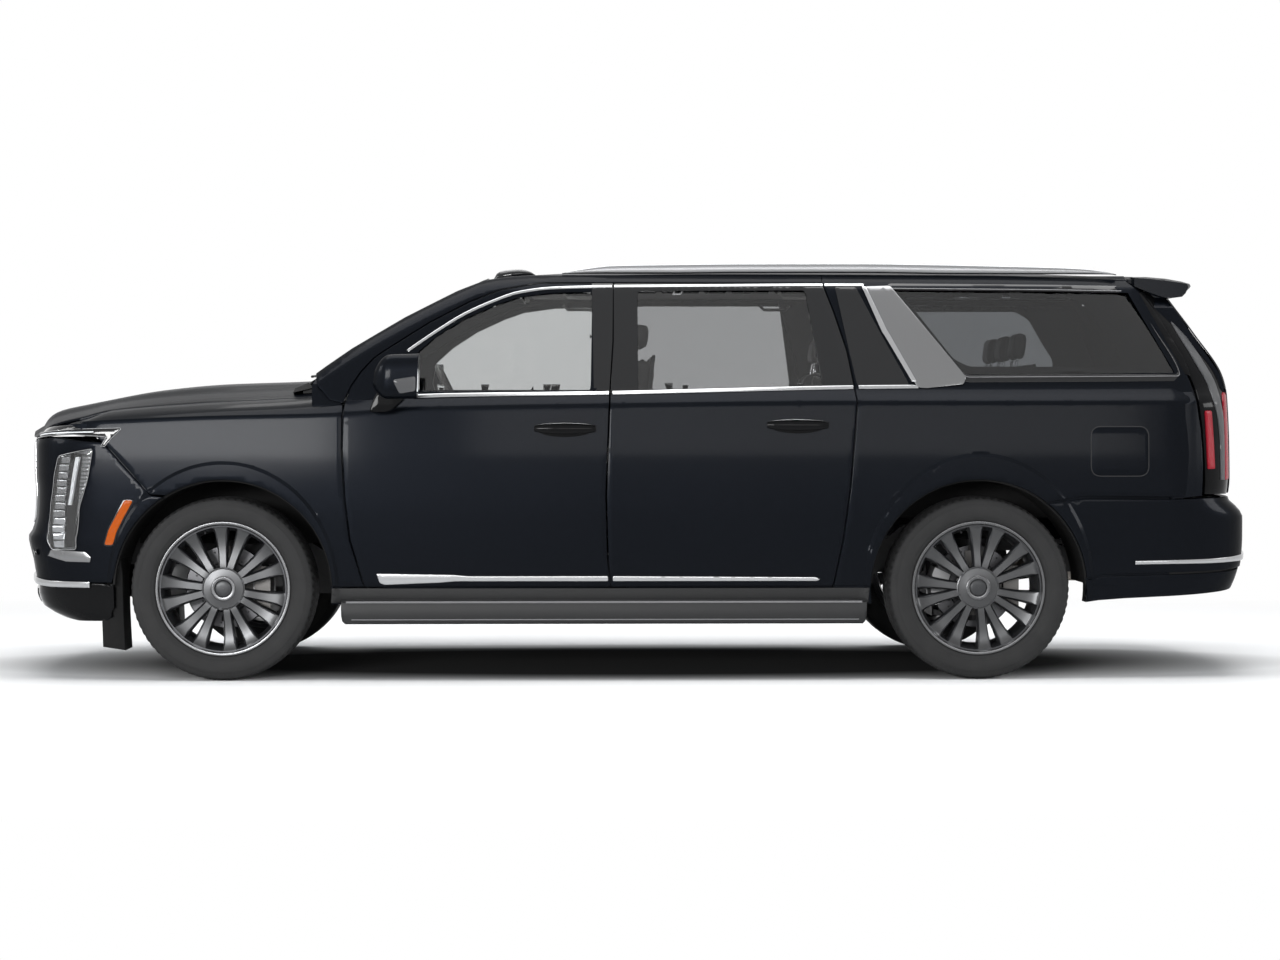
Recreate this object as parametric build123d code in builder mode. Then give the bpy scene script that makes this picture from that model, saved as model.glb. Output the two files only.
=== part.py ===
"""Full-size sport utility vehicle, long wheelbase, built as an assembly of its real pieces.

Frame: millimetres, +Z up, nose towards -X, the vehicle's left side towards -Y.
The origin is on the floor under the middle of the body.
"""

import math
import os

from build123d import *

# ---------------------------------------------------------------- driving dimensions
overall_length = 5766.0
body_width = 2058.0
wheelbase = 3407.0
front_axle_x = -1875.0
rear_axle_x = front_axle_x + wheelbase
half_track = 870.0

tyre_radius = 413.0
tyre_width = 275.0
bead_radius = 279.7
rim_seat_radius = 279.4
rim_lip_radius = 302.0
rim_inner_radius = 262.0
rim_width = 240.0
arch_radius = 492.0
spoke_pairs = 7

belt_height = 1300.0
sill_top = 413.0
floor_height = 560.0
load_floor_height = 770.0
roof_height = 1885.0
roof_edge_height = 1840.0

door_skin = 25.0
frame_skin = 12.0
side_wall = 120.0
pillar_wall = 55.0
panel_wall = 12.0
roof_wall = 45.0
glass_thickness = 6.0

panel_gap = 8.0
seal_gap = 8.0
seat_clearance = 0.3
hinge_pin_radius = 4.0
hood_pin_radius = 6.0
hinge_clearance = 0.3
spindle_radius = 40.0
spindle_clearance = 0.3
kingpin_offset = 55.0

hitch_tube = 63.5
hitch_wall = 6.0
hitch_pin_radius = 8.0
hitch_height = 380.0

# ---------------------------------------------------------------- values that follow
half_length = overall_length / 2
half_width = body_width / 2
axle_height = tyre_radius
nose_radius = 2964.0
nose_corner_y = 800.0
nose_sagitta = nose_radius - math.sqrt(nose_radius**2 - nose_corner_y**2)
corner_x = half_length - nose_sagitta
side_bow = 30.0
plan_clearance = 3.0
shoulder_x = half_length - 483.0
elbow_x = half_length - 203.0
elbow_y = half_width - 99.0

os.makedirs("parts", exist_ok=True)


def save(part, name):
    """Label a finished piece and write it to its own file."""
    part.label = name
    export_step(part, "parts/" + name + ".step")


# ---------------------------------------------------------------- the body's outer form
def cross_section(low, high, roof):
    """Half cross-section of the body, each face moved inwards by its own wall."""
    return [
        (half_width - 25 - low, 300),
        (half_width - 25 - low, 420),
        (half_width - 5 - low, 640),
        (half_width - low, 800),
        (half_width - 5 - low, 1000),
        (half_width - 19 - low, belt_height - 60),
        (half_width - 71 - high, belt_height),
        (half_width - 239 - high, roof_edge_height - 55),
        (half_width - 269 - high, roof_edge_height - 20 - roof * 0.7),
        (half_width - 314 - high, roof_edge_height - roof),
        (0, roof_height - roof),
    ]


def body_form(low, high, roof):
    """Solid body form: a cross-section along the vehicle, rounded in plan at nose and tail."""
    half = cross_section(low, high, roof)
    mirrored = [(-y, z) for y, z in reversed(half[:-1])]
    plan = plan_block(low)
    with BuildPart() as form:
        with BuildSketch(Plane.YZ.offset(-half_length)):
            with BuildLine():
                Polyline(*half, *mirrored, close=True)
            make_face()
        extrude(amount=overall_length)
        add(plan, mode=Mode.INTERSECT)
    return form.part


def plan_block(inset):
    """Everything inside the body's outline seen from above, moved inwards by inset."""
    end_x = half_length - inset
    turn = (corner_x - inset, nose_corner_y - inset * 0.3)
    elbow = (elbow_x - inset * 0.7, elbow_y - inset * 0.7)
    shoulder = (shoulder_x, half_width - side_bow - inset)
    bow_y = half_width + plan_clearance - inset
    with BuildPart() as block:
        with BuildSketch():
            with BuildLine():
                ThreePointArc((-turn[0], -turn[1]), (-end_x, 0), (-turn[0], turn[1]))
                ThreePointArc((-turn[0], turn[1]), (-elbow[0], elbow[1]), (-shoulder[0], shoulder[1]))
                ThreePointArc((-shoulder[0], shoulder[1]), (0, bow_y), shoulder)
                ThreePointArc(shoulder, elbow, turn)
                ThreePointArc(turn, (end_x, 0), (turn[0], -turn[1]))
                ThreePointArc((turn[0], -turn[1]), (elbow[0], -elbow[1]), (shoulder[0], -shoulder[1]))
                ThreePointArc((shoulder[0], -shoulder[1]), (0, -bow_y), (-shoulder[0], -shoulder[1]))
                ThreePointArc((-shoulder[0], -shoulder[1]), (-elbow[0], -elbow[1]), (-turn[0], -turn[1]))
            make_face()
        extrude(amount=roof_height + 100)
    return block.part


def side_block(points, inner=0.0, outer=1400.0, grow=0.0):
    """A side-view outline carried across one half of the vehicle, from inner to outer."""
    with BuildPart() as block:
        with BuildSketch(Plane.XZ.offset(inner)):
            with BuildLine():
                Polyline(*points, close=True)
            make_face()
            if grow:
                offset(amount=grow, kind=Kind.INTERSECTION)
        extrude(amount=outer - inner)
    return block.part


def full_block(points):
    """A side-view outline carried across the whole vehicle."""
    with BuildPart() as block:
        with BuildSketch(Plane.XZ):
            with BuildLine():
                Polyline(*points, close=True)
            make_face()
        extrude(amount=1400, both=True)
    return block.part


def box_between(low, high):
    """A box from its lowest corner to its highest corner."""
    with BuildPart() as block:
        with Locations([((low[0] + high[0]) / 2, (low[1] + high[1]) / 2, (low[2] + high[2]) / 2)]):
            Box(high[0] - low[0], high[1] - low[1], high[2] - low[2])
    return block.part


def rod(centre, direction, radius, length):
    """A round bar whose middle is at centre."""
    with BuildPart() as bar:
        with BuildSketch(Plane(origin=centre, z_dir=direction)):
            Circle(radius)
        extrude(amount=length / 2, both=True)
    return bar.part


def both_sides(part):
    """A left-hand part together with its mirror image on the right."""
    with BuildPart() as pair:
        add(part)
        mirror(about=Plane.XZ)
    return pair.part


def common(first, *others):
    """What all the given parts share."""
    with BuildPart() as shared:
        add(first)
        for other in others:
            add(other, mode=Mode.INTERSECT)
    return shared.part


def joined(first, *others):
    """Several parts made one."""
    with BuildPart() as union:
        add(first)
        for other in others:
            add(other)
    return union.part


def cut(first, *others):
    """A part with others taken out of it."""
    with BuildPart() as rest:
        add(first)
        for other in others:
            add(other, mode=Mode.SUBTRACT)
    return rest.part


# ---------------------------------------------------------------- outlines seen from the side
def shifted(points, dx, dz=0.0):
    """The same points moved along and up."""
    return [(x + dx, z + dz) for x, z in points]


gap_front = [
    (-1203, 1451),
    (-1257, 1392),
    (-1302, 1325),
    (-1334, 1240),
    (-1339, 1038),
    (-1326, 813),
    (-1304, 633),
    (-1277, 543),
    (-1250, 453),
    (-1240, sill_top),
]
gap_middle = [(-131, sill_top), (-145, 542), (-153, 830), (-135, belt_height), (-120, 1532), (-117, 1800)]
gap_rear = [
    (838, 1800),
    (887, 1668),
    (942, 1488),
    (973, 1317),
    (980, 1254),
    (967, 1082),
    (947, 857),
    (916, 631),
    (871, sill_top),
]
door_line = [(-452, 1800), (-635, 1766), (-772, 1711), (-954, 1615), (-1159, 1483)]
half_gap = panel_gap / 2
front_door_outline = gap_front + shifted(gap_middle, half_gap) + door_line
rear_door_outline = shifted(gap_middle, -half_gap)[::-1] + gap_rear[::-1]
front_window_outline = [
    (-1040, belt_height + 8),
    (-222, belt_height + 8),
    (-214, 1755),
    (-395, 1750),
    (-552, 1729),
    (-657, 1692),
    (-793, 1630),
    (-919, 1550),
    (-1010, 1470),
]
rear_window_outline = [(-8, belt_height + 10), (830, belt_height + 16), (760, 1762), (-8, 1762)]
quarter_window_outline = [(1480, 1380), (2440, 1388), (2250, 1758), (1150, 1772)]

lamp_front_x = -2436.0
lamp_bottom = 592.0
nose_split = 690.0
nose_top = 1104.0
hood_line = [(-2552, 1182), (-2415, 1219), (-2006, 1251), (-1550, 1274), (-1345, 1301), (-1309, 1318)]
fender_outline = (
    [(-2199, 836), (-2377, 1037), (-2440, nose_top + 4), (-2560, nose_top + 46)]
    + hood_line
    + gap_front[3:-1]
    + [(-1240, sill_top + panel_gap), (-1430, sill_top + panel_gap)]
    + [(front_axle_x, axle_height + arch_radius - 20)]
)
bumper_outline = [
    (-half_length - 20, 260),
    (-half_length - 20, lamp_bottom),
    (lamp_front_x, lamp_bottom),
    (lamp_front_x, nose_top - 30),
    (-2377.3, 1036.7),
    (-2199.3, 835.7),
    (-2290, 600),
    (-2330, 260),
]
windshield_line = [(-1500, 1366), (-1422, 1425), (-1307, 1505), (-1070, 1648), (-833, 1770), (-706, 1826)]
windshield_back = [(-697, 1810), (-833, 1758), (-1070, 1638), (-1307, 1496), (-1490, 1358)]
quarter_edge = [(2545, 830), (2550, 967), (2540, 1127), (2520, 1265), (2492, 1372), (2298, 1765)]
roof_end = 2250.0
side_break = 829.0
quarter_outline = (
    shifted(gap_rear, seat_clearance)
    + [(1060, sill_top), (1100, 345), (2000, 345), (2396, 400), (2420, 816)]
    + quarter_edge
    + [(roof_end, 1812), (roof_end, roof_height), (side_break + seat_clearance, roof_height)]
    + [(side_break + seat_clearance, 1800)]
)
side_frame_outline = (
    [(-1420, 345), (1060, 345), (1060, sill_top)]
    + gap_rear[::-1]
    + [(side_break, 1800), (side_break, roof_height), (-640, roof_height)]
    + [(-700, 1829), (-833, 1771), (-1070, 1649), (-1307, 1506), (-1430, 1419), (-1480, 1330), (-1455, 620)]
)
post_front = (-1345.0, -1150.0)
post_middle = (-156.0, -60.0)

# ---------------------------------------------------------------- layers of the body side
outer_form = body_form(0, 0, 0)
under_skin_form = body_form(door_skin, frame_skin, frame_skin)
under_seal_form = body_form(door_skin + seal_gap, frame_skin + seal_gap, frame_skin + seal_gap)
inside_form = body_form(side_wall, pillar_wall, roof_wall)
cabin_form = body_form(side_wall + seat_clearance, pillar_wall + seat_clearance, roof_wall)
thin_form = body_form(panel_wall, panel_wall, panel_wall)
skin_layer = cut(outer_form, under_skin_form)
box_layer = cut(under_skin_form, inside_form)
pillar_layer = cut(under_seal_form, inside_form)
wall_layer = cut(outer_form, inside_form)

# ---------------------------------------------------------------- doors
front_hinge = (-1275.0, half_width - 15.0)
rear_hinge = (-99.0, half_width - 11.0)
hinge_heights = [700.0, 960.0]
hinge_pin_length = 120.0
hinge_leaf_height = 40.0
hinge_leaf = 6.0
hinge_sweep = 56.0
door_box_inset = 35.0
door_box_front = 70.0
door_box_rear = 112.0
door_box_clearance = 18.0
glass_depth = 10.0


def door_box_block(points, extra):
    """The door outline drawn in at its edges, less by extra than the door's own inner box."""
    whole = side_block(points, grow=extra - door_box_inset)
    from_front = whole.moved(Location((door_box_front - door_box_inset, 0, 0)))
    from_rear = whole.moved(Location((door_box_inset - door_box_rear, 0, 0)))
    return common(whole, from_front, from_rear)


def hinge_pocket(hinge, height):
    """The notch in the door's front edge that the fixed hinge leaf needs as the door swings."""
    half = hinge_leaf_height / 2 + panel_gap
    return box_between(
        (hinge[0] - 80, -hinge[1] - hinge_pin_radius, height - half),
        (hinge[0] + hinge_leaf + panel_gap, -hinge[1] + side_wall, height + half),
    )


def door(points, window, hinge):
    """A whole left-hand door: outer skin, inner box, window opening and hinge bores."""
    skin = common(skin_layer, side_block(points, grow=-panel_gap))
    box = common(box_layer, door_box_block(points, 0))
    bore = hinge_pin_radius + hinge_clearance
    bores = [rod((hinge[0], -hinge[1], z), (0, 0, 1), bore, hinge_pin_length + 2) for z in hinge_heights]
    pockets = [hinge_pocket(hinge, z) for z in hinge_heights]
    return cut(joined(skin, box), side_block(window), *bores, *pockets)


def door_hinges(hinge, post_x):
    """Two fixed hinges: a pin in the door's bores, on a cranked leaf from the door post."""
    pieces = []
    for z in hinge_heights:
        low = z - hinge_leaf_height / 2
        high = z + hinge_leaf_height / 2
        edge = -hinge[1] + hinge_sweep
        pieces.append(rod((hinge[0], -hinge[1], z), (0, 0, 1), hinge_pin_radius, hinge_pin_length))
        pieces.append(box_between((hinge[0], -hinge[1], low), (hinge[0] + hinge_leaf, edge + 10, high)))
        pieces.append(box_between((post_x, edge, low), (hinge[0] + hinge_leaf, edge + 10, high)))
    return pieces


def window_pane(window):
    """A pane that follows the glasshouse face, a hair inside its opening."""
    outer_face = body_form(glass_depth, glass_depth, glass_depth)
    inner_depth = glass_depth + glass_thickness
    inner_face = body_form(inner_depth, inner_depth, inner_depth)
    return common(cut(outer_face, inner_face), side_block(window, inner=300, grow=-seat_clearance))


mirror_housing = ((-1188, -1185, 1262), (-985, -1045, 1466))
mirror_foot = ((-1190, -1120, 1208), (-1090, -1012.4, 1280))
front_door_part = door(front_door_outline, front_window_outline, front_hinge)
rear_door_part = door(rear_door_outline, rear_window_outline, rear_hinge)
front_glass_part = window_pane(front_window_outline)
rear_glass_part = window_pane(rear_window_outline)
mirror_box = box_between(*mirror_housing)
mirror_foot_box = box_between(*mirror_foot)


def left_part(part):
    """A left-hand part as it stands."""
    return part


def right_part(part):
    """The right-hand twin of a left-hand part."""
    return part.mirror(Plane.XZ)


sides = (("left", left_part), ("right", right_part))

with BuildPart() as mirror_part:
    add(mirror_box)
    fillet(mirror_part.edges(), radius=45)
    add(mirror_foot_box)

for side_name, on_side in sides:
    with BuildPart() as front_door:
        add(on_side(front_door_part))
    save(front_door.part, "front_door_" + side_name)
    with BuildPart() as rear_door:
        add(on_side(rear_door_part))
    save(rear_door.part, "rear_door_" + side_name)
    with BuildPart() as front_door_glass:
        add(on_side(front_glass_part))
    save(front_door_glass.part, "front_door_glass_" + side_name)
    with BuildPart() as rear_door_glass:
        add(on_side(rear_glass_part))
    save(rear_door_glass.part, "rear_door_glass_" + side_name)
    with BuildPart() as door_mirror:
        add(on_side(mirror_part.part))
    save(door_mirror.part, "door_mirror_" + side_name)

# ---------------------------------------------------------------- side frames, fenders, quarters
front_arch = rod((front_axle_x, -950, axle_height), (0, 1, 0), arch_radius, 900)
rear_arch = rod((rear_axle_x, -950, axle_height), (0, 1, 0), arch_radius, 900)
roof_side = half_width - 314
frame_skin_part = cut(
    common(wall_layer, side_block(side_frame_outline, inner=roof_side)),
    side_block(front_door_outline),
    side_block(rear_door_outline),
    box_between((-1600, -1200, sill_top), (-1236, -500, 1335)),
)
frame_post_part = cut(
    common(pillar_layer, side_block(side_frame_outline, inner=roof_side)),
    door_box_block(front_door_outline, door_box_clearance),
    door_box_block(rear_door_outline, door_box_clearance),
    box_between((post_front[0], -1200, sill_top + 2), (post_front[1], -500, 1290)),
    box_between((post_middle[0], -1200, sill_top + 2), (post_middle[1], -500, 1450)),
)
front_hinges = door_hinges(front_hinge, post_front[0])
rear_hinges = door_hinges(rear_hinge, post_middle[0])
side_frame_left = cut(
    joined(frame_skin_part, frame_post_part, *front_hinges, *rear_hinges), front_arch, rear_arch
)
with BuildPart() as side_frames:
    add(both_sides(side_frame_left))
save(side_frames.part, "side_frames")

fender_inner_y = 763.0
fender_under = (
    [(-2700, 200), (-2700, nose_top + 20), (-2560, nose_top + 34)]
    + shifted(hood_line, 0, -panel_wall)
    + [(-1200, 1306), (-1200, 200)]
)
fender_left = cut(
    common(outer_form, side_block(fender_outline, inner=fender_inner_y)),
    common(thin_form, side_block(fender_under)),
    common(under_seal_form, box_between((-1490, -1200, 1200), (-1200, -500, 1400))),
    front_arch,
)
with BuildPart() as front_fenders:
    add(both_sides(fender_left))
save(front_fenders.part, "front_fenders")

quarter_left = cut(
    common(wall_layer, side_block(quarter_outline, inner=roof_side)),
    side_block(quarter_window_outline),
    rear_arch,
)
with BuildPart() as quarter_panels:
    add(both_sides(quarter_left))
save(quarter_panels.part, "quarter_panels")

quarter_glass_left = window_pane(quarter_window_outline)
with BuildPart() as quarter_glass:
    add(both_sides(quarter_glass_left))
save(quarter_glass.part, "quarter_glass")

windshield_body = full_block(windshield_line + windshield_back)
with BuildPart() as windshield:
    add(windshield_body)
    add(cabin_form, mode=Mode.INTERSECT)
save(windshield.part, "windshield")

# ---------------------------------------------------------------- roof, rails and pod
roof_half = roof_side - seat_clearance
roof_profile = [
    (-690, 1600),
    (-690, 1834),
    (-480, 1872),
    (300, roof_height + 1),
    (1600, roof_height - 2),
    (roof_end, 1868),
    (roof_end, 1600),
]
roof_block = full_block(roof_profile)
gate_front = roof_end + 14.0
gate_hinge = (2276.0, 1852.0)
gate_hinge_y = 500.0
gate_rod = rod((gate_hinge[0], -gate_hinge_y, gate_hinge[1]), (0, 1, 0), hood_pin_radius, 90)
gate_bracket = box_between((2235, -gate_hinge_y - 9, 1846), (gate_hinge[0], 9 - gate_hinge_y, 1858))
gate_hinge_part = joined(gate_rod, gate_bracket)
with BuildPart() as roof:
    with BuildSketch(Plane.YZ.offset(-700)):
        with BuildLine():
            ThreePointArc((-roof_half, roof_edge_height), (0, roof_height), (roof_half, roof_edge_height))
            Line((roof_half, roof_edge_height), (roof_half, roof_edge_height - roof_wall))
            ThreePointArc(
                (roof_half, roof_edge_height - roof_wall),
                (0, roof_height - roof_wall),
                (-roof_half, roof_edge_height - roof_wall),
            )
            Line((-roof_half, roof_edge_height - roof_wall), (-roof_half, roof_edge_height))
        make_face()
    extrude(amount=roof_end + 720)
    add(roof_block, mode=Mode.INTERSECT)
    add(gate_hinge_part)
    add(right_part(gate_hinge_part))
save(roof.part, "roof")

rail_foot = roof_edge_height + 3.3
rail_outline = [
    (-348, rail_foot),
    (-243, 1872),
    (-127, 1886),
    (467, 1895),
    (1024, 1896),
    (1718, 1884),
    (2087, 1871),
    (2203, rail_foot),
]
rail_left = side_block(rail_outline, inner=roof_half - 24, outer=roof_half)
with BuildPart() as roof_rails:
    add(both_sides(rail_left))
save(roof_rails.part, "roof_rails")

pod_outline = [(-680, 1836.2), (-656, 1890), (-640, 1899), (-559, 1904), (-505, 1892), (-485, 1871.5)]
pod_block = common(full_block(pod_outline), box_between((-800, -110, 1800), (-400, 110, 2000)))
with BuildPart() as roof_pod:
    add(pod_block)
save(roof_pod.part, "roof_pod")

# ---------------------------------------------------------------- nose
nose_band = cut(plan_block(0), plan_block(60))
lamp_band = cut(plan_block(30), plan_block(150))
grille_band = cut(plan_block(45), plan_block(105))
lamp_inner_y = 640.0
bumper_side = side_block(bumper_outline, inner=lamp_inner_y)
bumper_middle = box_between((-half_length - 20, -lamp_inner_y, 260), (-2300, lamp_inner_y, nose_split))
right_front_arch = right_part(front_arch)
with BuildPart() as front_bumper:
    add(nose_band)
    add(joined(bumper_side, right_part(bumper_side), bumper_middle), mode=Mode.INTERSECT)
    add(front_arch, mode=Mode.SUBTRACT)
    add(right_front_arch, mode=Mode.SUBTRACT)
save(front_bumper.part, "front_bumper")

c = seat_clearance
lamp_block = box_between(
    (-half_length - 20, -1200, lamp_bottom + c), (lamp_front_x - c, -lamp_inner_y - c, nose_top)
)
lamp_left = common(lamp_band, lamp_block)
with BuildPart() as headlamps:
    add(both_sides(lamp_left))
save(headlamps.part, "headlamps")

grille_block = box_between(
    (-half_length - 20, -lamp_inner_y + c, nose_split + c), (-2300, lamp_inner_y - c, nose_top)
)
with BuildPart() as grille:
    add(grille_band)
    add(grille_block, mode=Mode.INTERSECT)
save(grille.part, "grille")

# ---------------------------------------------------------------- hood
hood_half = fender_inner_y - panel_gap
hood_wall = 38.0
hood_hinge = (-1450.0, 1290.0)
hood_arm = (688.0, 703.0)
hood_sections = [(-2870, 1185, 1150), (-2519, 1281, 1188), (-2006, 1356, 1251), (-1560, 1376, 1272)]
hood_plan = plan_block(30)
hood_arm_profile = [
    (-1750, 1230),
    (-1465, 1280),
    (-1440, 1280),
    (-1440, 1300),
    (-1465, 1300),
    (-1750, 1262),
]
hood_arm_plate = side_block(hood_arm_profile, inner=hood_arm[0], outer=hood_arm[1])
hood_arm_bore = rod(
    (hood_hinge[0], -700, hood_hinge[1]), (0, 1, 0), hood_pin_radius + hinge_clearance, 60
)
hood_arm_left = cut(hood_arm_plate, hood_arm_bore)
with BuildPart() as hood:
    for x, crown, edge in hood_sections:
        under_edge = edge - hood_wall
        with BuildSketch(Plane.YZ.offset(x)):
            with BuildLine():
                ThreePointArc((-hood_half, edge), (0, crown), (hood_half, edge))
                Line((hood_half, edge), (hood_half, under_edge))
                ThreePointArc((hood_half, under_edge), (0, crown - hood_wall), (-hood_half, under_edge))
                Line((-hood_half, under_edge), (-hood_half, edge))
            make_face()
    loft(ruled=True)
    add(hood_plan, mode=Mode.INTERSECT)
    add(hood_arm_left)
    add(right_part(hood_arm_left))
save(hood.part, "hood")

# ---------------------------------------------------------------- bulkhead, dashboard, floor
firewall_x = (-1366.0, -1345.0)
cowl = box_between((-1545, -665, 1270), (firewall_x[1], 665, 1330))
firewall = box_between((firewall_x[0], -1000, 530), (firewall_x[1], 1000, 1280))
hinge_plate = box_between((-1475, -722, 1270), (firewall_x[1], -712, 1310))
hinge_rod = rod((hood_hinge[0], -701, hood_hinge[1]), (0, 1, 0), hood_pin_radius, 42)
with BuildPart() as bulkhead:
    add(joined(common(firewall, cabin_form), cowl, hinge_plate, hinge_rod))
    add(right_part(joined(hinge_plate, hinge_rod)))
save(bulkhead.part, "bulkhead")

dash_outline = [
    (firewall_x[1] + c, 900),
    (-1000, 900),
    (-955, 1130),
    (-975, 1205),
    (-1060, 1232),
    (firewall_x[1] + c, 1262),
]
wheel_centre = (-860.0, -400.0, 1255.0)
wheel_tilt = 25.0
wheel_axis = (math.cos(math.radians(wheel_tilt)), 0.0, math.sin(math.radians(wheel_tilt)))
column_back = 20.0
column_length = 160.0
column_centre = tuple(
    wheel_centre[i] - wheel_axis[i] * (column_back + c + column_length / 2) for i in range(3)
)
dash_body = common(full_block(dash_outline), cabin_form)
column = rod(column_centre, wheel_axis, 32, column_length)
with BuildPart() as dashboard:
    add(dash_body)
    add(column)
save(dashboard.part, "dashboard")

wheel_plane = Plane(origin=wheel_centre, z_dir=wheel_axis)
with BuildPart() as steering_wheel:
    with BuildSketch(Plane(origin=wheel_centre, x_dir=(0, 1, 0), z_dir=(-wheel_axis[2], 0, wheel_axis[0]))):
        with Locations((185, 0)):
            Circle(15)
    revolve(axis=Axis(wheel_centre, wheel_axis))
    with BuildSketch(wheel_plane):
        Circle(62)
        Rectangle(40, 350)
        with Locations((60, 0)):
            Rectangle(240, 36)
    extrude(amount=column_back, both=True)
save(steering_wheel.part, "steering_wheel")

tub_y = (632.0, 640.0)
floor_thickness = 20.0
step_x = 1000.0
floor_low = floor_height - floor_thickness
load_low = load_floor_height - floor_thickness
floor_front = box_between((firewall_x[1] + c, -1000, floor_low), (step_x, 1000, floor_height))
riser = box_between((step_x, -1000, floor_low), (step_x + 20, 1000, load_floor_height))
load_floor = box_between((step_x, -1000, load_low), (2690, 1000, load_floor_height))
rear_panel = box_between((2670, -700, 610), (2690, 700, 815))
tub_room = box_between(
    (rear_axle_x - arch_radius - 4, -1100, 500), (rear_axle_x + arch_radius + 4, -tub_y[0] + c, 1000)
)
with BuildPart() as floor:
    add(common(joined(floor_front, riser, load_floor, rear_panel), cabin_form))
    add(tub_room, mode=Mode.SUBTRACT)
    add(right_part(tub_room), mode=Mode.SUBTRACT)
save(floor.part, "floor")

liner_wall = 8.0


def liner(axle_x, inner_y, low_z):
    """A wheel arch liner: the part of a ring above low_z, from inner_y out to the panel."""
    outside = rod((axle_x, -(inner_y + 990) / 2, axle_height), (0, 1, 0), arch_radius - c, 990 - inner_y)
    inside = rod((axle_x, -800, axle_height), (0, 1, 0), arch_radius - c - liner_wall, 1200)
    below = box_between((axle_x - 600, -1200, -200), (axle_x + 600, 0, low_z))
    return cut(outside, inside, below)


tub_middle = (rear_axle_x, -(tub_y[0] + tub_y[1]) / 2, axle_height)
tub_disc = rod(tub_middle, (0, 1, 0), arch_radius - c, tub_y[1] - tub_y[0])
tub_wall = cut(tub_disc, box_between((500, -1200, -200), (2600, 0, 720)))
front_liner = liner(front_axle_x, 600.0, axle_height + 20)
rear_liner = joined(liner(rear_axle_x, tub_y[0], axle_height + 20), tub_wall)
with BuildPart() as wheelhouse_liners:
    add(both_sides(front_liner))
    add(both_sides(rear_liner))
save(wheelhouse_liners.part, "wheelhouse_liners")

# ---------------------------------------------------------------- ladder frame
rail_y = (380.0, 470.0)
rail_depth = 120.0
rail_low = 400.0
rail_line = [
    (-2860, 500),
    (-1560, 500),
    (-1400, rail_low),
    (1050, rail_low),
    (1250, 560),
    (1850, 560),
    (2000, 460),
    (2860, 460),
]
rail_loop = rail_line + shifted(rail_line[::-1], 0, rail_depth)
rails = side_block(rail_loop, inner=rail_y[0], outer=rail_y[1])
cross_boxes = [
    ((-2640, 500), (-2560, 600)),
    ((-760, 400), (-680, 430)),
    ((240, 400), (320, 430)),
    ((960, 400), (1040, 430)),
    ((1450, 560), (1600, 600)),
    ((1950, 560), (2040, 580)),
    ((2440, 490), (2520, 560)),
]
cross_members = [
    box_between((low[0], -rail_y[0] - 10, low[1]), (high[0], rail_y[0] + 10, high[1]))
    for low, high in cross_boxes
]
cradle_low = 250.0
cradle_high = 325.0
pickup_y = 430.0


def cradle(axle_x, top):
    """A suspension cradle across the vehicle, hung from both frame rails."""
    beam = box_between((axle_x - 140, -pickup_y, cradle_low), (axle_x + 140, pickup_y, cradle_high))
    front_post = box_between((axle_x - 140, -pickup_y, cradle_high), (axle_x - 80, -rail_y[0], top))
    rear_post = box_between((axle_x + 80, -pickup_y, cradle_high), (axle_x + 140, -rail_y[0], top))
    return [beam, front_post, rear_post, right_part(front_post), right_part(rear_post)]


rail_middle_y = -(rail_y[0] + rail_y[1]) / 2
floor_under = floor_low - c
load_floor_under = load_low - c
mount_seats = [
    (-1150, rail_low + rail_depth, floor_under),
    (-300, rail_low + rail_depth, floor_under),
    (700, rail_low + rail_depth, floor_under),
    (1700, 560 + rail_depth, load_floor_under),
]
body_mounts = [
    rod((x, rail_middle_y, (low + high) / 2), (0, 0, 1), 35, high - low) for x, low, high in mount_seats
]
frame_side = joined(rails, *body_mounts)
cradles = cradle(front_axle_x, 500) + cradle(rear_axle_x, 560)
frame_body = joined(frame_side, right_part(frame_side), *cross_members, *cradles)
frame_limit = plan_block(60 + c)
with BuildPart() as frame:
    add(frame_body)
    add(frame_limit, mode=Mode.INTERSECT)
save(frame.part, "frame")

# ---------------------------------------------------------------- engine, driveline, exhaust, tank
engine_block = box_between((-2350, -300, cradle_high + c), (-1650, 300, 1050))
with BuildPart() as engine:
    add(engine_block)
    chamfer(engine.edges().filter_by(Axis.X), length=60)
save(engine.part, "engine")

gearbox = box_between((-1650 + c, -170, 345), (-850, 170, 500))
shaft_z = 465.0
prop_shaft = rod(((-850 + 1400) / 2, 0, shaft_z), (1, 0, 0), 32, 2250 - 2 * c)
axle_case = box_between((1400, -140, 335), (1664, 140, 560 - c))
half_shaft = rod((rear_axle_x, -(140 + 785) / 2, axle_height), (0, 1, 0), 22, 645 - 2 * c)
with BuildPart() as driveline:
    add(gearbox)
    add(prop_shaft)
    add(axle_case)
    add(both_sides(half_shaft))
save(driveline.part, "driveline")

pipe_y = 235.0
down_pipe = rod(((-1650 + 1900) / 2, pipe_y, 472), (1, 0, 0), 30, 3550 - 2 * c)
silencer = box_between((1900, -330, 410), (2150, 330, 560 - c))
tail_pipe = rod((2325, 290, 450), (1, 0, 0), 28, 350)
with BuildPart() as exhaust:
    add(silencer)
    fillet(exhaust.edges().filter_by(Axis.Y), radius=40)
    add(tail_pipe)
    add(down_pipe)
save(exhaust.part, "exhaust")

tank_block = box_between((345, -rail_y[0] + c, 330), (935, -60, 515))
with BuildPart() as fuel_tank:
    add(tank_block)
    fillet(fuel_tank.edges().filter_by(Axis.X), radius=30)
save(fuel_tank.part, "fuel_tank")

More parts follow.
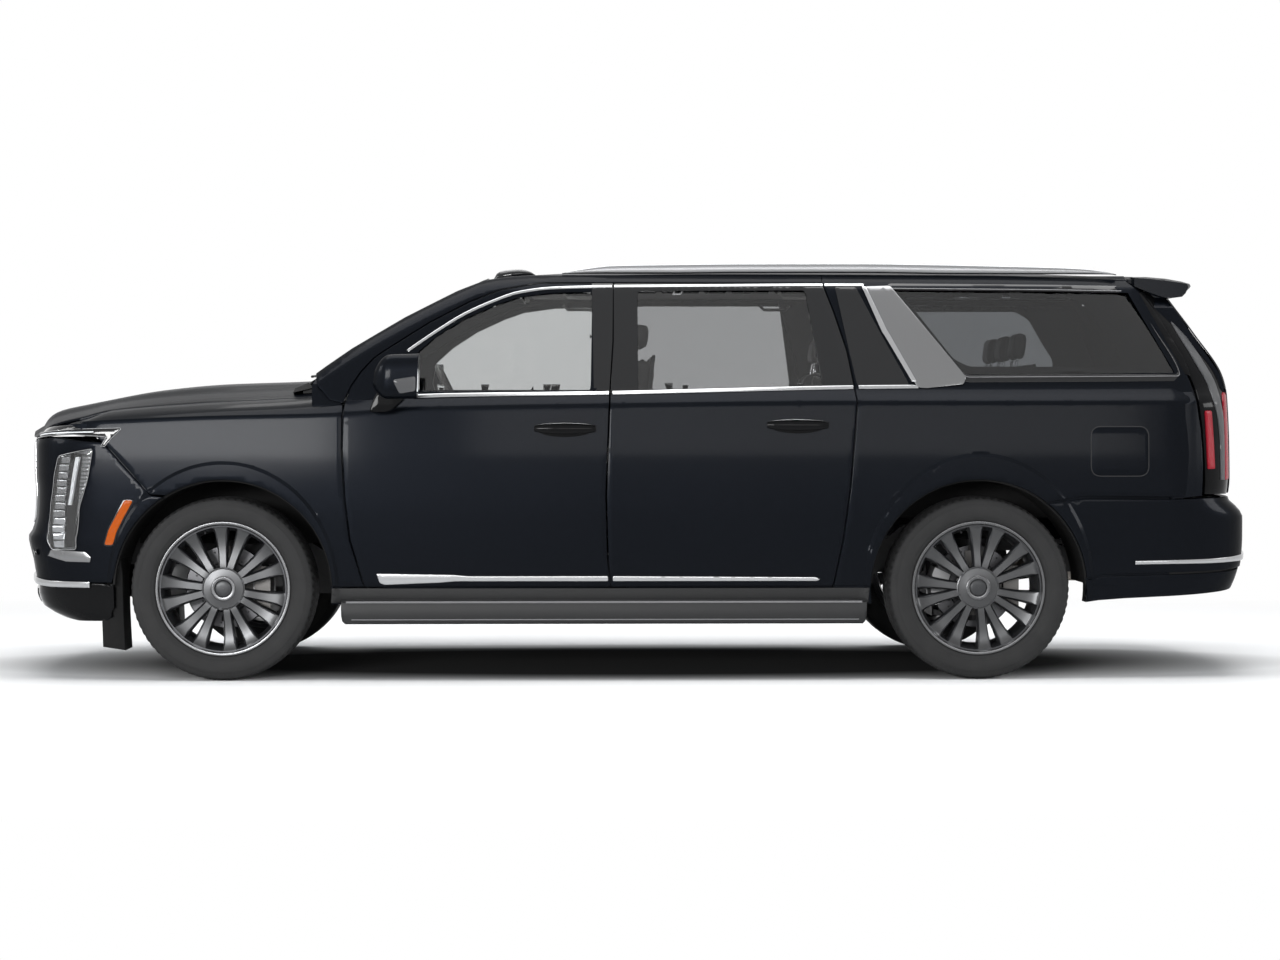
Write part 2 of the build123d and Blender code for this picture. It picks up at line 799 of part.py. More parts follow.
hitch_x = (2525.0, 2835.0)
hitch_inner = hitch_tube - 2 * hitch_wall
hitch_cross = box_between((hitch_x[0], -rail_y[0] + c, 370), (hitch_x[0] + 60, rail_y[0] - c, 485))
receiver = box_between(
    (hitch_x[0] + 55, -hitch_tube / 2, hitch_height - hitch_tube / 2),
    (hitch_x[1], hitch_tube / 2, hitch_height + hitch_tube / 2),
)
receiver_hole = box_between(
    (hitch_x[0] + 80, -hitch_inner / 2, hitch_height - hitch_inner / 2),
    (hitch_x[1] + 1, hitch_inner / 2, hitch_height + hitch_inner / 2),
)
hitch_pin_x = hitch_x[1] - 45.0
pin_hole = rod((hitch_pin_x, 0, hitch_height), (0, 1, 0), hitch_pin_radius, 100)
with BuildPart() as hitch_receiver:
    add(hitch_cross)
    add(receiver)
    add(receiver_hole, mode=Mode.SUBTRACT)
    add(pin_hole, mode=Mode.SUBTRACT)
save(hitch_receiver.part, "hitch_receiver")

# ---------------------------------------------------------------- suspension, knuckles and wheels
arm_thickness = 24.0
lower_ball = axle_height - 133.0
upper_ball = axle_height + 187.0
king_y = half_track - kingpin_offset
pad_radius = 28.0


def plate(points, low_z, high_z):
    """A flat plate: an outline seen from above between two heights."""
    with BuildPart() as flat:
        with BuildSketch(Plane.XY.offset(low_z)):
            with BuildLine():
                Polyline(*points, close=True)
            make_face()
        extrude(amount=high_z - low_z)
    return flat.part


def wishbone(axle_x, low_z, inner_y, spread):
    """A wishbone from the frame at inner_y out to its ball joint, open in its middle."""
    high_z = low_z + arm_thickness
    outline = [(-pad_radius, -king_y), (pad_radius, -king_y), (spread, -inner_y), (-spread, -inner_y)]
    slot = [
        (-20, -king_y + 60),
        (20, -king_y + 60),
        (spread - 45, -inner_y - 25),
        (45 - spread, -inner_y - 25),
    ]
    body = plate([(axle_x + x, y) for x, y in outline], low_z, high_z)
    pad = rod((axle_x, -king_y, (low_z + high_z) / 2), (0, 0, 1), pad_radius, arm_thickness)
    return cut(joined(body, pad), plate([(axle_x + x, y) for x, y in slot], low_z - 1, high_z + 1))


def knuckle(axle_x):
    """A wheel carrier between its ball joints, with its stub axle and brake caliper."""
    inner = -(half_track - 85)
    upright = box_between(
        (axle_x - 40, inner - 50, lower_ball + 25), (axle_x + 40, inner, upper_ball - 25)
    )
    low_ball = rod((axle_x, -king_y, lower_ball + c + 20), (0, 0, 1), 24, 40)
    high_ball = rod((axle_x, -king_y, upper_ball - c - 20), (0, 0, 1), 24, 40)
    stub = rod((axle_x, -(half_track + 15), axle_height), (0, 1, 0), spindle_radius, 150)
    web = box_between((axle_x, inner - 50, axle_height - 45), (axle_x + 190, inner - 25, axle_height + 45))
    caliper = box_between(
        (axle_x + 130, -(half_track + 5), axle_height - 95), (axle_x + 200, inner - 25, axle_height + 95)
    )
    return joined(upright, low_ball, high_ball, stub, web, caliper)


front_lower = wishbone(front_axle_x, lower_ball - arm_thickness, pickup_y + c, 135)
front_upper = wishbone(front_axle_x, upper_ball, rail_y[1] + c, 110)
rear_lower = wishbone(rear_axle_x, lower_ball - arm_thickness, pickup_y + c, 135)
rear_upper = wishbone(rear_axle_x, upper_ball, rail_y[1] + c, 110)
with BuildPart() as suspension_arms:
    add(both_sides(front_lower))
    add(both_sides(front_upper))
    add(both_sides(rear_lower))
    add(both_sides(rear_upper))
save(suspension_arms.part, "suspension_arms")

rear_carrier = knuckle(rear_axle_x)
with BuildPart() as rear_hub_carriers:
    add(both_sides(rear_carrier))
save(rear_hub_carriers.part, "rear_hub_carriers")

front_knuckle = knuckle(front_axle_x)
for side_name, on_side in sides:
    with BuildPart() as steering_knuckle:
        add(on_side(front_knuckle))
    save(steering_knuckle.part, "steering_knuckle_" + side_name)

disc_face = 70.0
disc_depth = 26.0
hub_inner = 22.0
hub_radius = 97.0


def tyre(axle_x):
    """A left-hand tyre standing on the floor."""
    half = tyre_width / 2
    middle = (axle_x, -half_track, axle_height)
    with BuildPart() as ring:
        with BuildSketch(Plane(origin=middle, x_dir=(0, 1, 0), z_dir=(-1, 0, 0))):
            with BuildLine():
                Polyline(
                    (-112, rim_lip_radius + 4),
                    (-112, bead_radius),
                    (112, bead_radius),
                    (112, rim_lip_radius + 4),
                )
                ThreePointArc((112, rim_lip_radius + 4), (half, 350), (half - 12, 392))
                ThreePointArc((half - 12, 392), (half - 22, tyre_radius - 6), (half - 40, tyre_radius))
                Line((half - 40, tyre_radius), (40 - half, tyre_radius))
                ThreePointArc((40 - half, tyre_radius), (22 - half, tyre_radius - 6), (12 - half, 392))
                ThreePointArc((12 - half, 392), (-half, 350), (-112, rim_lip_radius + 4))
            make_face()
        revolve(axis=Axis(middle, (0, 1, 0)))
    return ring.part


def wheel_plane(axle_x, out):
    """The plane across a left wheel, a distance outwards from its middle."""
    origin = (axle_x, -half_track - out, axle_height)
    return Plane(origin=origin, x_dir=(1, 0, 0), z_dir=(0, -1, 0))


def rim(axle_x):
    """A left-hand wheel: rim well, flanges, spoked face and hub bore."""
    centre = (axle_x, -half_track, axle_height)
    half = rim_width / 2
    with BuildPart() as whole:
        with BuildSketch(Plane(origin=centre, x_dir=(0, 1, 0), z_dir=(-1, 0, 0))):
            with BuildLine():
                Polyline(
                    (-half, rim_inner_radius),
                    (-half, rim_lip_radius),
                    (-112 - c, rim_lip_radius),
                    (-112 - c, rim_seat_radius),
                    (112 + c, rim_seat_radius),
                    (112 + c, rim_lip_radius),
                    (half, rim_lip_radius),
                    (half, rim_inner_radius),
                    close=True,
                )
            make_face()
        revolve(axis=Axis(centre, (0, 1, 0)))
        with BuildSketch(wheel_plane(axle_x, disc_face)):
            Circle(rim_inner_radius + 1)
            Circle(spindle_radius + spindle_clearance, mode=Mode.SUBTRACT)
            with PolarLocations(184, spoke_pairs, start_angle=81.5 + 180 / spoke_pairs):
                SlotCenterToCenter(110, 40, mode=Mode.SUBTRACT)
            with PolarLocations(198, spoke_pairs, start_angle=81.5):
                SlotCenterToCenter(86, 24, mode=Mode.SUBTRACT)
        extrude(amount=disc_depth)
        with BuildSketch(wheel_plane(axle_x, hub_inner)):
            Circle(hub_radius)
            Circle(spindle_radius + spindle_clearance, mode=Mode.SUBTRACT)
        extrude(amount=disc_face - hub_inner + 1)
    return whole.part


for axle_name, axle_x in (("front", front_axle_x), ("rear", rear_axle_x)):
    tyre_part = tyre(axle_x)
    rim_part = rim(axle_x)
    for side_name, on_side in sides:
        with BuildPart() as wheel_tyre:
            add(on_side(tyre_part))
        save(wheel_tyre.part, "tyre_" + axle_name + "_" + side_name)
        with BuildPart() as wheel_rim:
            add(on_side(rim_part))
        save(wheel_rim.part, "rim_" + axle_name + "_" + side_name)

# ---------------------------------------------------------------- tail
tail_axis = Axis((118, 0, 0), (0, 0, 1))
tail_line = [
    (2817, 826),
    (2826, 898),
    (2824, 1053),
    (2814, 1268),
    (2808, 1318),
    (2795, 1381),
    (2659, 1574),
    (2575, 1705),
    (2629, 1795),
    (2629, 1818),
    (2521, 1848),
    (2258, 1862),
]
tail_inner_line = [
    (2736, 800),
    (2742, 1053),
    (2728, 1290),
    (2712, 1370),
    (2588, 1560),
    (2484, 1710),
    (2440, 1788),
    (2258, 1800),
]


def tail_form(points):
    """The body's tail, round in plan: the given line turned about an upright axis far ahead of it."""
    with BuildPart() as form:
        with BuildSketch(Plane.XZ):
            with BuildLine():
                Polyline((118, points[0][1]), *points, (118, points[-1][1]), close=True)
            make_face()
        revolve(axis=tail_axis)
    return form.part


def rear_block(points, low_x, high_x, grow=0.0):
    """An outline seen from behind, carried along the vehicle."""
    with BuildPart() as block:
        with BuildSketch(Plane.YZ.offset(low_x)):
            with BuildLine():
                Polyline(*points, *[(-y, z) for y, z in points[::-1]], close=True)
            make_face()
            if grow:
                offset(amount=grow, kind=Kind.INTERSECTION)
        extrude(amount=high_x - low_x)
    return block.part


tail_outer = tail_form(tail_line)
tail_inner = tail_form(tail_inner_line)
gate_bottom = 834.0
gate_half_width = 800.0
gate_shoulder = 750.0
gate_top_half_width = 700.0
gate_flank = [(gate_half_width, gate_bottom), (gate_half_width, 1330), (gate_shoulder, 1690)]
gate_outline = gate_flank + [(gate_top_half_width, 1740), (gate_top_half_width, 1870)]
gate_sweep = gate_flank + [(gate_shoulder, 1870)]
rear_window = [(700, 1345), (655, 1690)]
tailgate_shell = cut(tail_outer, tail_inner)
gate_block = rear_block(gate_outline, gate_front, 2900)
gate_pivot = (gate_hinge[0], -gate_hinge_y, gate_hinge[1])
gate_bore = rod(gate_pivot, (0, 1, 0), hood_pin_radius + hinge_clearance, 94)
gate_notch = box_between((2240, -gate_hinge_y - 18, 1836), (gate_hinge[0] + 16, 18 - gate_hinge_y, 1890))
window_block = rear_block(rear_window, 2400, 2900)
pane_block = rear_block(rear_window, 2400, 2900, grow=-c)
with BuildPart() as tailgate:
    add(tailgate_shell)
    add(gate_block, mode=Mode.INTERSECT)
    add(window_block, mode=Mode.SUBTRACT)
    add(joined(gate_bore, gate_notch), mode=Mode.SUBTRACT)
    add(right_part(joined(gate_bore, gate_notch)), mode=Mode.SUBTRACT)
save(tailgate.part, "tailgate")

pane_outer = tail_outer.moved(Location((-glass_depth, 0, 0)))
pane_inner = tail_outer.moved(Location((-glass_depth - 1.4 * glass_thickness, 0, 0)))
with BuildPart() as rear_glass:
    add(cut(pane_outer, pane_inner))
    add(pane_block, mode=Mode.INTERSECT)
save(rear_glass.part, "rear_glass")

lamp_outline = shifted(quarter_edge, 0.5) + [(2380, 1765), (2900, 1765), (2900, 830)]
lamp_room = rear_block(gate_sweep, 2200, 2900, grow=2 * panel_gap)
lamp_corner = cut(common(outer_form, side_block(lamp_outline, inner=600), tail_outer), lamp_room)
tail_lamp_left = joined(cut(lamp_corner, tail_inner), cut(lamp_corner, body_form(60, 50, 50)))
with BuildPart() as tail_lamps:
    add(both_sides(tail_lamp_left))
save(tail_lamps.part, "tail_lamps")

rear_bumper_outline = [(2396.5, 400), (2420.3, 812), (2950, 812), (2950, 400)]
rear_side = side_block(rear_bumper_outline)
hitch_notch = box_between((2600, -130, 380), (2950, 130, 430))
with BuildPart() as rear_bumper:
    add(nose_band)
    add(joined(rear_side, right_part(rear_side)), mode=Mode.INTERSECT)
    add(hitch_notch, mode=Mode.SUBTRACT)
save(rear_bumper.part, "rear_bumper")

board_block = box_between((-1340, -1035, 265), (1020, -925, 345 - c))
with BuildPart() as running_boards:
    add(both_sides(board_block))
    fillet(running_boards.edges().filter_by(Axis.X), radius=12)
save(running_boards.part, "running_boards")

# ---------------------------------------------------------------- seats and console
seat_width = 520.0
seat_y = 400.0


def seat(front_x, base_z, back_top, inner_y, outer_y):
    """A seat seen from the side: base, cushion, leaning back and head restraint."""
    outline = [
        (front_x + 60, base_z + c),
        (front_x + 40, base_z + 120),
        (front_x, base_z + 150),
        (front_x, base_z + 290),
        (front_x + 430, base_z + 265),
        (front_x + 560, back_top - 150),
        (front_x + 570, back_top),
        (front_x + 660, back_top),
        (front_x + 690, back_top - 150),
        (front_x + 590, base_z + 150),
        (front_x + 520, base_z + 120),
        (front_x + 500, base_z + c),
    ]
    return side_block(outline, inner=inner_y, outer=outer_y)


front_seat = seat(-600, floor_height, 1640, seat_y - seat_width / 2, seat_y + seat_width / 2)
with BuildPart() as front_seats:
    add(both_sides(front_seat))
save(front_seats.part, "front_seats")

second_seat = seat(300, floor_height, 1600, 160, 700)
with BuildPart() as second_row_seats:
    add(both_sides(second_seat))
save(second_row_seats.part, "second_row_seats")

third_seat = seat(1180, load_floor_height, 1600, 0, 600)
with BuildPart() as third_row_seat:
    add(both_sides(third_seat))
save(third_row_seat.part, "third_row_seat")

console_block = box_between((-930, -115, floor_height + c), (-150, 115, 880))
with BuildPart() as console:
    add(console_block)
    fillet(console.edges().filter_by(Axis.X), radius=25)
save(console.part, "console")
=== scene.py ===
"""Looks of a long-wheelbase full-size sport utility vehicle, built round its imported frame."""

import math

import bmesh
import bpy
import numpy as np
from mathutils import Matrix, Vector
from mathutils.geometry import delaunay_2d_cdt


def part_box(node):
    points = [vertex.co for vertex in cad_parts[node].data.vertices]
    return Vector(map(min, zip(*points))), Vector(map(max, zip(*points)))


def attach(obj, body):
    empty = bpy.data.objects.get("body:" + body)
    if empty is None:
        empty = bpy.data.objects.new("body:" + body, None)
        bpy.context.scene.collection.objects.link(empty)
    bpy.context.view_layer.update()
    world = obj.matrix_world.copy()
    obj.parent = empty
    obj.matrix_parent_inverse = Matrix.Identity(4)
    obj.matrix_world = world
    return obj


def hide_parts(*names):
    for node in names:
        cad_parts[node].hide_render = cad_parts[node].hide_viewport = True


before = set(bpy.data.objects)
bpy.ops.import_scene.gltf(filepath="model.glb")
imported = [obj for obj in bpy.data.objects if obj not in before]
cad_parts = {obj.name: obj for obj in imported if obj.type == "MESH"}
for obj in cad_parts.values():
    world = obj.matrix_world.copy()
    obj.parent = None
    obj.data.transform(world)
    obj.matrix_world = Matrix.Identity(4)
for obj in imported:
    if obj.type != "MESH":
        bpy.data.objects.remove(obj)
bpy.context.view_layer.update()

AXLE_FRONT = -1.875
AXLE_REAR = 1.532
HALF_TRACK = 0.870
AXLE_HEIGHT = 0.413
HALF_LENGTH = 2.883
HALF_WIDTH = 1.029
END_BOW = 5.928  # nose and tail faces fall back by y * y over this
SIDE_EVEN = 1.9  # distances along the unrolled flank, from the middle: an even side,
SIDE_END = 2.40  # then the start of the corner,
CORNER_RUN = 0.62
CORNER_END = 3.02  # then the end face,
CENTRE_U = 3.83  # up to the vehicle's centre line
DOOR_FOOT = 0.421
HOOD_LEAD_Z = 1.127
FENDER_CROWN = 0.072


# ------------------------------ shader expressions
class Socket:
    """One output of a shader node, usable in Python sums and products."""

    def __init__(self, finish, out):
        self.finish = finish
        self.out = out

    def __add__(self, other):
        return self.finish.value("ADD", self, other)

    __radd__ = __add__

    def __mul__(self, other):
        return self.finish.value("MULTIPLY", self, other)

    __rmul__ = __mul__

    def __sub__(self, other):
        return self.finish.value("SUBTRACT", self, other)

    def __rsub__(self, other):
        return self.finish.value("SUBTRACT", other, self)

    def __pow__(self, other):
        return self.finish.value("POWER", self, other)


class Finish:
    """A material under construction: its Principled shader and whatever feeds it."""

    def __init__(self, name):
        self.material = bpy.data.materials.new(name)
        self.material.use_nodes = True
        self.tree = self.material.node_tree
        self.shader = self.tree.nodes["Principled BSDF"]
        self.place = self.node("TexCoord", out="Object")

    def link(self, socket, value):
        if isinstance(value, Socket):
            self.tree.links.new(value.out, socket)
        elif isinstance(value, (tuple,
                                list)) and len(value) == 3 and len(socket.default_value) == 4:
            socket.default_value = (*value, 1.0)
        else:
            socket.default_value = value

    def node(self, kind, settings=None, inputs=None, out=0):
        """Adds a node: its settings first, then the values or links of its sockets."""
        made = self.tree.nodes.new("ShaderNode" + kind)
        for key, value in (settings or {}).items():
            if key == "stops":
                for element, (position, shade) in zip(made.color_ramp.elements, value):
                    element.position = position
                    element.color = (shade, shade, shade, 1.0)
            else:
                setattr(made, key, value)
        for key, value in (inputs or {}).items():
            self.link(made.inputs[key], value)
        return Socket(self, made.outputs[out])

    def value(self, operation, first, second):
        return self.node("Math", {"operation": operation}, {0: first, 1: second})

    def blend(self, factor, first, second):
        return self.node("Mix", {"data_type": "RGBA"}, {0: factor, 6: first, 7: second}, out=2)

    def noise(self, scale, detail=2.0, stretch=None):
        where = self.place
        if stretch:
            where = self.node("VectorMath", {"operation": "MULTIPLY"}, {0: where, 1: stretch})
        return self.node("TexNoise", None, {"Vector": where, "Scale": scale, "Detail": detail})

    def ramp(self, factor, low, high):
        return self.node("ValToRGB", {"stops": [(low, 0.0), (high, 1.0)]}, {0: factor})

    def bump(self, height, strength, distance=0.001):
        return self.node("Bump", None, {"Height": height, "Strength": strength,
                                        "Distance": distance})

    def set(self, **sockets):
        for name, value in sockets.items():
            self.link(self.shader.inputs[name.replace("_", " ")], value)
        return self.material


def mottled(name, colour, roughness, metallic=0.0, scale=60.0, spread=0.12, relief=0.05,
            size=0.0006, glint=0.3, **more):
    """A finish whose colour, gloss and relief all vary a little over the surface."""
    finish = Finish(name)
    cloud = finish.noise(scale, 3.0)
    broad = finish.noise(scale / 14.0, 2.0)
    darker = tuple(c * (1.0 - spread) for c in colour)
    lighter = tuple(min(1.0, c * (1.0 + spread)) for c in colour)
    return finish.set(
        Base_Color=finish.blend(broad, darker, lighter),
        Roughness=roughness + (cloud - 0.5) * (roughness * 0.35),
        Metallic=metallic,
        Normal=finish.bump(cloud, relief, size),
        Specular_IOR_Level=glint,
        **more,
    )


def metallic_paint():
    """Very dark blue-black metallic under a clear coat, with fine flake."""
    finish = Finish("blue_black_metallic")
    flake = finish.ramp(finish.noise(2600.0, 1.0), 0.52, 0.72)
    drift = finish.noise(1.3, 2.0)
    base = finish.blend(drift, (0.0022, 0.0028, 0.0040), (0.0030, 0.0038, 0.0054))
    return finish.set(
        Base_Color=finish.blend(flake, base, (0.011, 0.013, 0.018)),
        Metallic=0.5,
        Roughness=0.40 - flake * 0.08,
        Specular_IOR_Level=0.05,
        Specular_Tint=(0.12, 0.125, 0.14),
        Normal=finish.bump(finish.noise(7.0, 1.0), 0.04, 0.002),
        Coat_Weight=0.095,
        Coat_Roughness=0.10,
        Coat_IOR=1.45,
    )


def grained(name, colour, roughness, scale=900.0, depth=0.25, size=0.0004):
    """Moulded plastic or leather: closed cells of grain with softer gloss in the creases, and
    painted shade darkening the colour there.
    """
    finish = Finish(name)
    cells = finish.node("TexVoronoi", {"feature": "DISTANCE_TO_EDGE"},
                        {"Vector": finish.place, "Scale": scale})
    raised = finish.ramp(cells, 0.0, 0.28)
    cloud = finish.noise(9.0, 3.0)
    darker = tuple(c * 0.82 for c in colour)
    # The colour is darker along the creases between the cells: painted shade.
    return finish.set(Base_Color=finish.blend(raised * 0.5 + cloud * 0.5, darker,
                                              tuple(c * 1.08 for c in colour)),
                      Roughness=roughness - raised * 0.06 + cloud * 0.05, Specular_IOR_Level=0.25,
                      Normal=finish.bump(raised, depth, size),)


def woven(name, colour, scale=420.0, relief=0.35):
    """Short pile or knitted trim."""
    finish = Finish(name)
    tuft = finish.noise(scale, 4.0)
    across = finish.node("TexWave", {"bands_direction": "DIAGONAL"},
                         {"Vector": finish.place, "Scale": scale})
    return finish.set(Base_Color=finish.blend(tuft, tuple(c * 0.6 for c in colour),
                                              tuple(c * 1.3 for c in colour)),
                      Roughness=0.93, Sheen_Weight=0.25,
                      Normal=finish.bump(tuft * 0.7 + across * 0.3, relief, 0.0008))


def drawn_metal(name, colour, roughness, stretch, spread=0.10):
    """Bright metal with fine lines along its working direction."""
    finish = Finish(name)
    lines = finish.noise(40.0, 4.0, stretch)
    cloud = finish.noise(5.0, 2.0)
    return finish.set(Base_Color=finish.blend(lines * 0.6 + cloud * 0.4,
                                              tuple(c * (1 - spread) for c in colour), colour),
                      Metallic=1.0, Roughness=roughness + lines * 0.10,
                      Normal=finish.bump(lines, 0.04, 0.0003),)


def clear_pane(name, tint, roughness=0.0):
    """A pane: tinted, clear, with the faintest waviness."""
    finish = Finish(name)
    wave = finish.noise(1.1, 1.0)
    return finish.set(
        Base_Color=finish.blend(wave, tint, tuple(min(1.0, c * 1.06) for c in tint)),
        Roughness=roughness,
        Transmission_Weight=1.0,
        IOR=1.45,
        Normal=finish.bump(wave, 0.01, 0.001),
    )


def ribbed_lens(name, colour, glow, scale, direction="X", roughness=0.12, coat=0.3):
    """A moulded lamp lens with fine optic ribs."""
    finish = Finish(name)
    ribs = finish.node("TexWave", {"bands_direction": direction, "wave_profile": "SIN"},
                       {"Vector": finish.place, "Scale": scale})
    shade = finish.blend(ribs, tuple(c * 0.72 for c in colour), colour)
    return finish.set(
        Base_Color=shade,
        Roughness=roughness + ribs * 0.06,
        Emission_Color=shade,
        Emission_Strength=glow,
        Normal=finish.bump(ribs, 0.4, 0.001),
        Specular_IOR_Level=0.10,
        Coat_Weight=coat,
        Coat_Roughness=0.02,
    )


def tyre_rubber():
    finish = Finish("tyre_rubber")
    fine = finish.noise(700.0, 3.0)
    dust = finish.noise(14.0, 4.0)
    return finish.set(
        Base_Color=finish.blend(dust, (0.013, 0.013, 0.0135), (0.022, 0.022, 0.022)),
        Roughness=0.62 + fine * 0.12,
        Specular_IOR_Level=0.2,
        Normal=finish.bump(fine, 0.18, 0.0005),
    )


PAINT = metallic_paint()
CHROME = drawn_metal("satin_chrome", (0.40, 0.405, 0.412), 0.14, (0.3, 14.0, 14.0), 0.05)
SATIN = mottled("satin_trim", (0.20, 0.202, 0.206), 0.24, 1.0, 3.0, 0.06, 0.0)
RAIL_METAL = drawn_metal("satin_rail", (0.27, 0.273, 0.28), 0.24, (0.2, 20.0, 20.0), 0.05)
WHEEL_RING = mottled("wheel_ring", (0.10, 0.101, 0.104), 0.26, 1.0, 3.0, 0.06, 0.0)
MACHINED = drawn_metal("machined_face", (0.070, 0.071, 0.073), 0.27, (10.0, 1.0, 10.0), 0.12)
POCKET = mottled("grey_wheel_paint", (0.042, 0.043, 0.046), 0.36, 0.75, 300.0, 0.10, 0.03)
CAP_GREY = mottled("wheel_cap_grey", (0.030, 0.031, 0.033), 0.30, 0.3, 200.0, 0.12, 0.03)
GLOSS_BLACK = mottled("gloss_black", (0.0060, 0.0063, 0.0070), 0.10, 0.0, 30.0, 0.15, 0.01,
                      Coat_Weight=0.12)
DEEP_BLACK = mottled("deep_black", (0.0035, 0.0036, 0.0040), 0.12, 0.0, 30.0, 0.15, 0.01, 0.0006,
                     0.09)
BLACK_GRAIN = grained("black_moulding", (0.0085, 0.0087, 0.0092), 0.52)
LINER = grained("wheelhouse_liner", (0.0020, 0.0020, 0.0021), 0.8, 300.0, 0.2)
RUBBER = mottled("seal_rubber", (0.014, 0.014, 0.015), 0.7, 0.0, 220.0, 0.2, 0.1)
TYRE = tyre_rubber()
STEP_GREY = grained("step_grey", (0.016, 0.0163, 0.017), 0.46, 700.0, 0.2)
STEP_EDGE = mottled("step_edge_grey", (0.16, 0.16, 0.165), 0.4, 0.3, 200.0, 0.1, 0.05)
FRONT_PANE = clear_pane("door_glass_front", (0.66, 0.67, 0.67))
REAR_PANE = clear_pane("privacy_glass", (0.50, 0.505, 0.51))
QUARTER_PANE = clear_pane("privacy_glass_rear", (0.30, 0.31, 0.32))
SCREEN_PANE = clear_pane("windshield_glass", (0.86, 0.89, 0.88))
LENS = clear_pane("clear_lens", (0.93, 0.94, 0.95), 0.02)
REFLECTOR = drawn_metal("lamp_reflector", (0.38, 0.385, 0.395), 0.10, (4.0, 4.0, 4.0), 0.10)
LIGHT_BAR = ribbed_lens("white_light_bar", (0.74, 0.76, 0.78), 0.12, 60.0, "Z")
AMBER = ribbed_lens("amber_lens", (0.40, 0.070, 0.0010), 0.04, 90.0, "Z", 0.12, 0.05)
RED = ribbed_lens("red_lens", (0.27, 0.010, 0.020), 0.03, 80.0, "Z", 0.12, 0.12)
TAIL_STRIP = ribbed_lens("smoked_clear_lens", (0.075, 0.076, 0.079), 0.0, 120.0, "Z", 0.10)
LEATHER = grained("seat_leather", (0.052, 0.049, 0.047), 0.42, 520.0, 0.35)
THREAD = woven("seam_thread", (0.20, 0.19, 0.18), 900.0)
CABIN = grained("soft_touch_trim", (0.036, 0.036, 0.038), 0.55, 760.0)
DRILLED = grained("speaker_mesh", (0.045, 0.045, 0.046), 0.40, 240.0, 0.6)
CABIN_LIGHT = grained("pillar_trim", (0.34, 0.335, 0.325), 0.62, 640.0, 0.15)
HEADLINER = woven("headliner", (0.20, 0.195, 0.19), 520.0, 0.2)
CARPET = woven("carpet", (0.022, 0.022, 0.024))
VENEER = drawn_metal("cabin_accent", (0.42, 0.38, 0.33), 0.28, (0.4, 8.0, 8.0))
SCREEN_GLASS = mottled("display_glass", (0.012, 0.014, 0.018), 0.06, 0.0, 20.0, 0.2, 0.0)
FRAME_STEEL = mottled("black_chassis_steel", (0.021, 0.021, 0.022), 0.5, 0.0, 40.0, 0.3, 0.15)
CAST_IRON = mottled("cast_iron", (0.15, 0.145, 0.14), 0.55, 0.9, 160.0, 0.25, 0.4)
DISC_STEEL = drawn_metal("brake_disc", (0.10, 0.10, 0.105), 0.30, (10.0, 1.0, 10.0), 0.3)
DARK_CASTING = mottled("dull_casting", (0.045, 0.045, 0.046), 0.6, 0.6, 120.0, 0.2, 0.3)
CAST_ALLOY = mottled("cast_alloy", (0.36, 0.36, 0.365), 0.46, 0.9, 120.0, 0.2, 0.3)
EXHAUST_STEEL = mottled("dull_exhaust", (0.30, 0.275, 0.25), 0.38, 1.0, 30.0, 0.3, 0.08)
BORDER = mottled("ceramic_border", (0.006, 0.006, 0.007), 0.12, 0.0, 60.0, 0.2, 0.01, 0.0006, 0.12)


# ------------------------------ mesh building
class Shape:
    """Points and faces gathered from several forms, each face with its own finish."""

    def __init__(self):
        self.points = []
        self.faces = []
        self.marks = []
        self.finishes = []

    def add(self, points, faces, finish):
        start = len(self.points)
        if finish not in self.finishes:
            self.finishes.append(finish)
        mark = self.finishes.index(finish)
        self.points.extend(tuple(map(float, p)) for p in points)
        self.faces.extend(tuple(int(i) + start for i in face) for face in faces)
        self.marks.extend([mark] * len(faces))
        return self

    def take(self, other):
        for finish_index, finish in enumerate(other.finishes):
            chosen = [f for f, m in zip(other.faces, other.marks) if m == finish_index]
            used = sorted(set(i for f in chosen for i in f))
            renumber = {old: new for new, old in enumerate(used)}
            self.add([other.points[i] for i in used], [[renumber[i] for i in f] for f in chosen],
                     finish)
        return self

    def moved(self, change):
        """A copy with every point passed through change, an array function."""
        copy = Shape()
        copy.points = [tuple(p) for p in change(np.array(self.points, float))]
        copy.faces, copy.marks, copy.finishes = (
            list(self.faces), list(self.marks), list(self.finishes))
        return copy

    def mirrored(self):
        copy = self.moved(lambda p: p * (1, -1, 1))
        copy.faces = [f[::-1] for f in copy.faces]
        return copy

    def pair(self):
        """This shape and its mirror image across the vehicle."""
        both = Shape().take(self)
        return both.take(self.mirrored())


def make(name, body, shape, nodes=(), slot=None, sharp=32.0):
    """Turns a shape into a piece that rides on a body and stands for the named CAD nodes."""
    mesh = bpy.data.meshes.new(name)
    mesh.from_pydata(shape.points, [], shape.faces)
    for finish in shape.finishes:
        mesh.materials.append(finish)
    mesh.polygons.foreach_set("material_index", shape.marks)
    work = bmesh.new()
    work.from_mesh(mesh)
    bmesh.ops.recalc_face_normals(work, faces=work.faces)
    work.to_mesh(mesh)
    work.free()
    mesh.polygons.foreach_set("use_smooth", [True] * len(mesh.polygons))
    mesh.set_sharp_from_angle(angle=math.radians(sharp))
    piece = bpy.data.objects.new(name, mesh)
    bpy.context.scene.collection.objects.link(piece)
    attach(piece, body)
    if nodes:
        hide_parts(*nodes)
    return piece


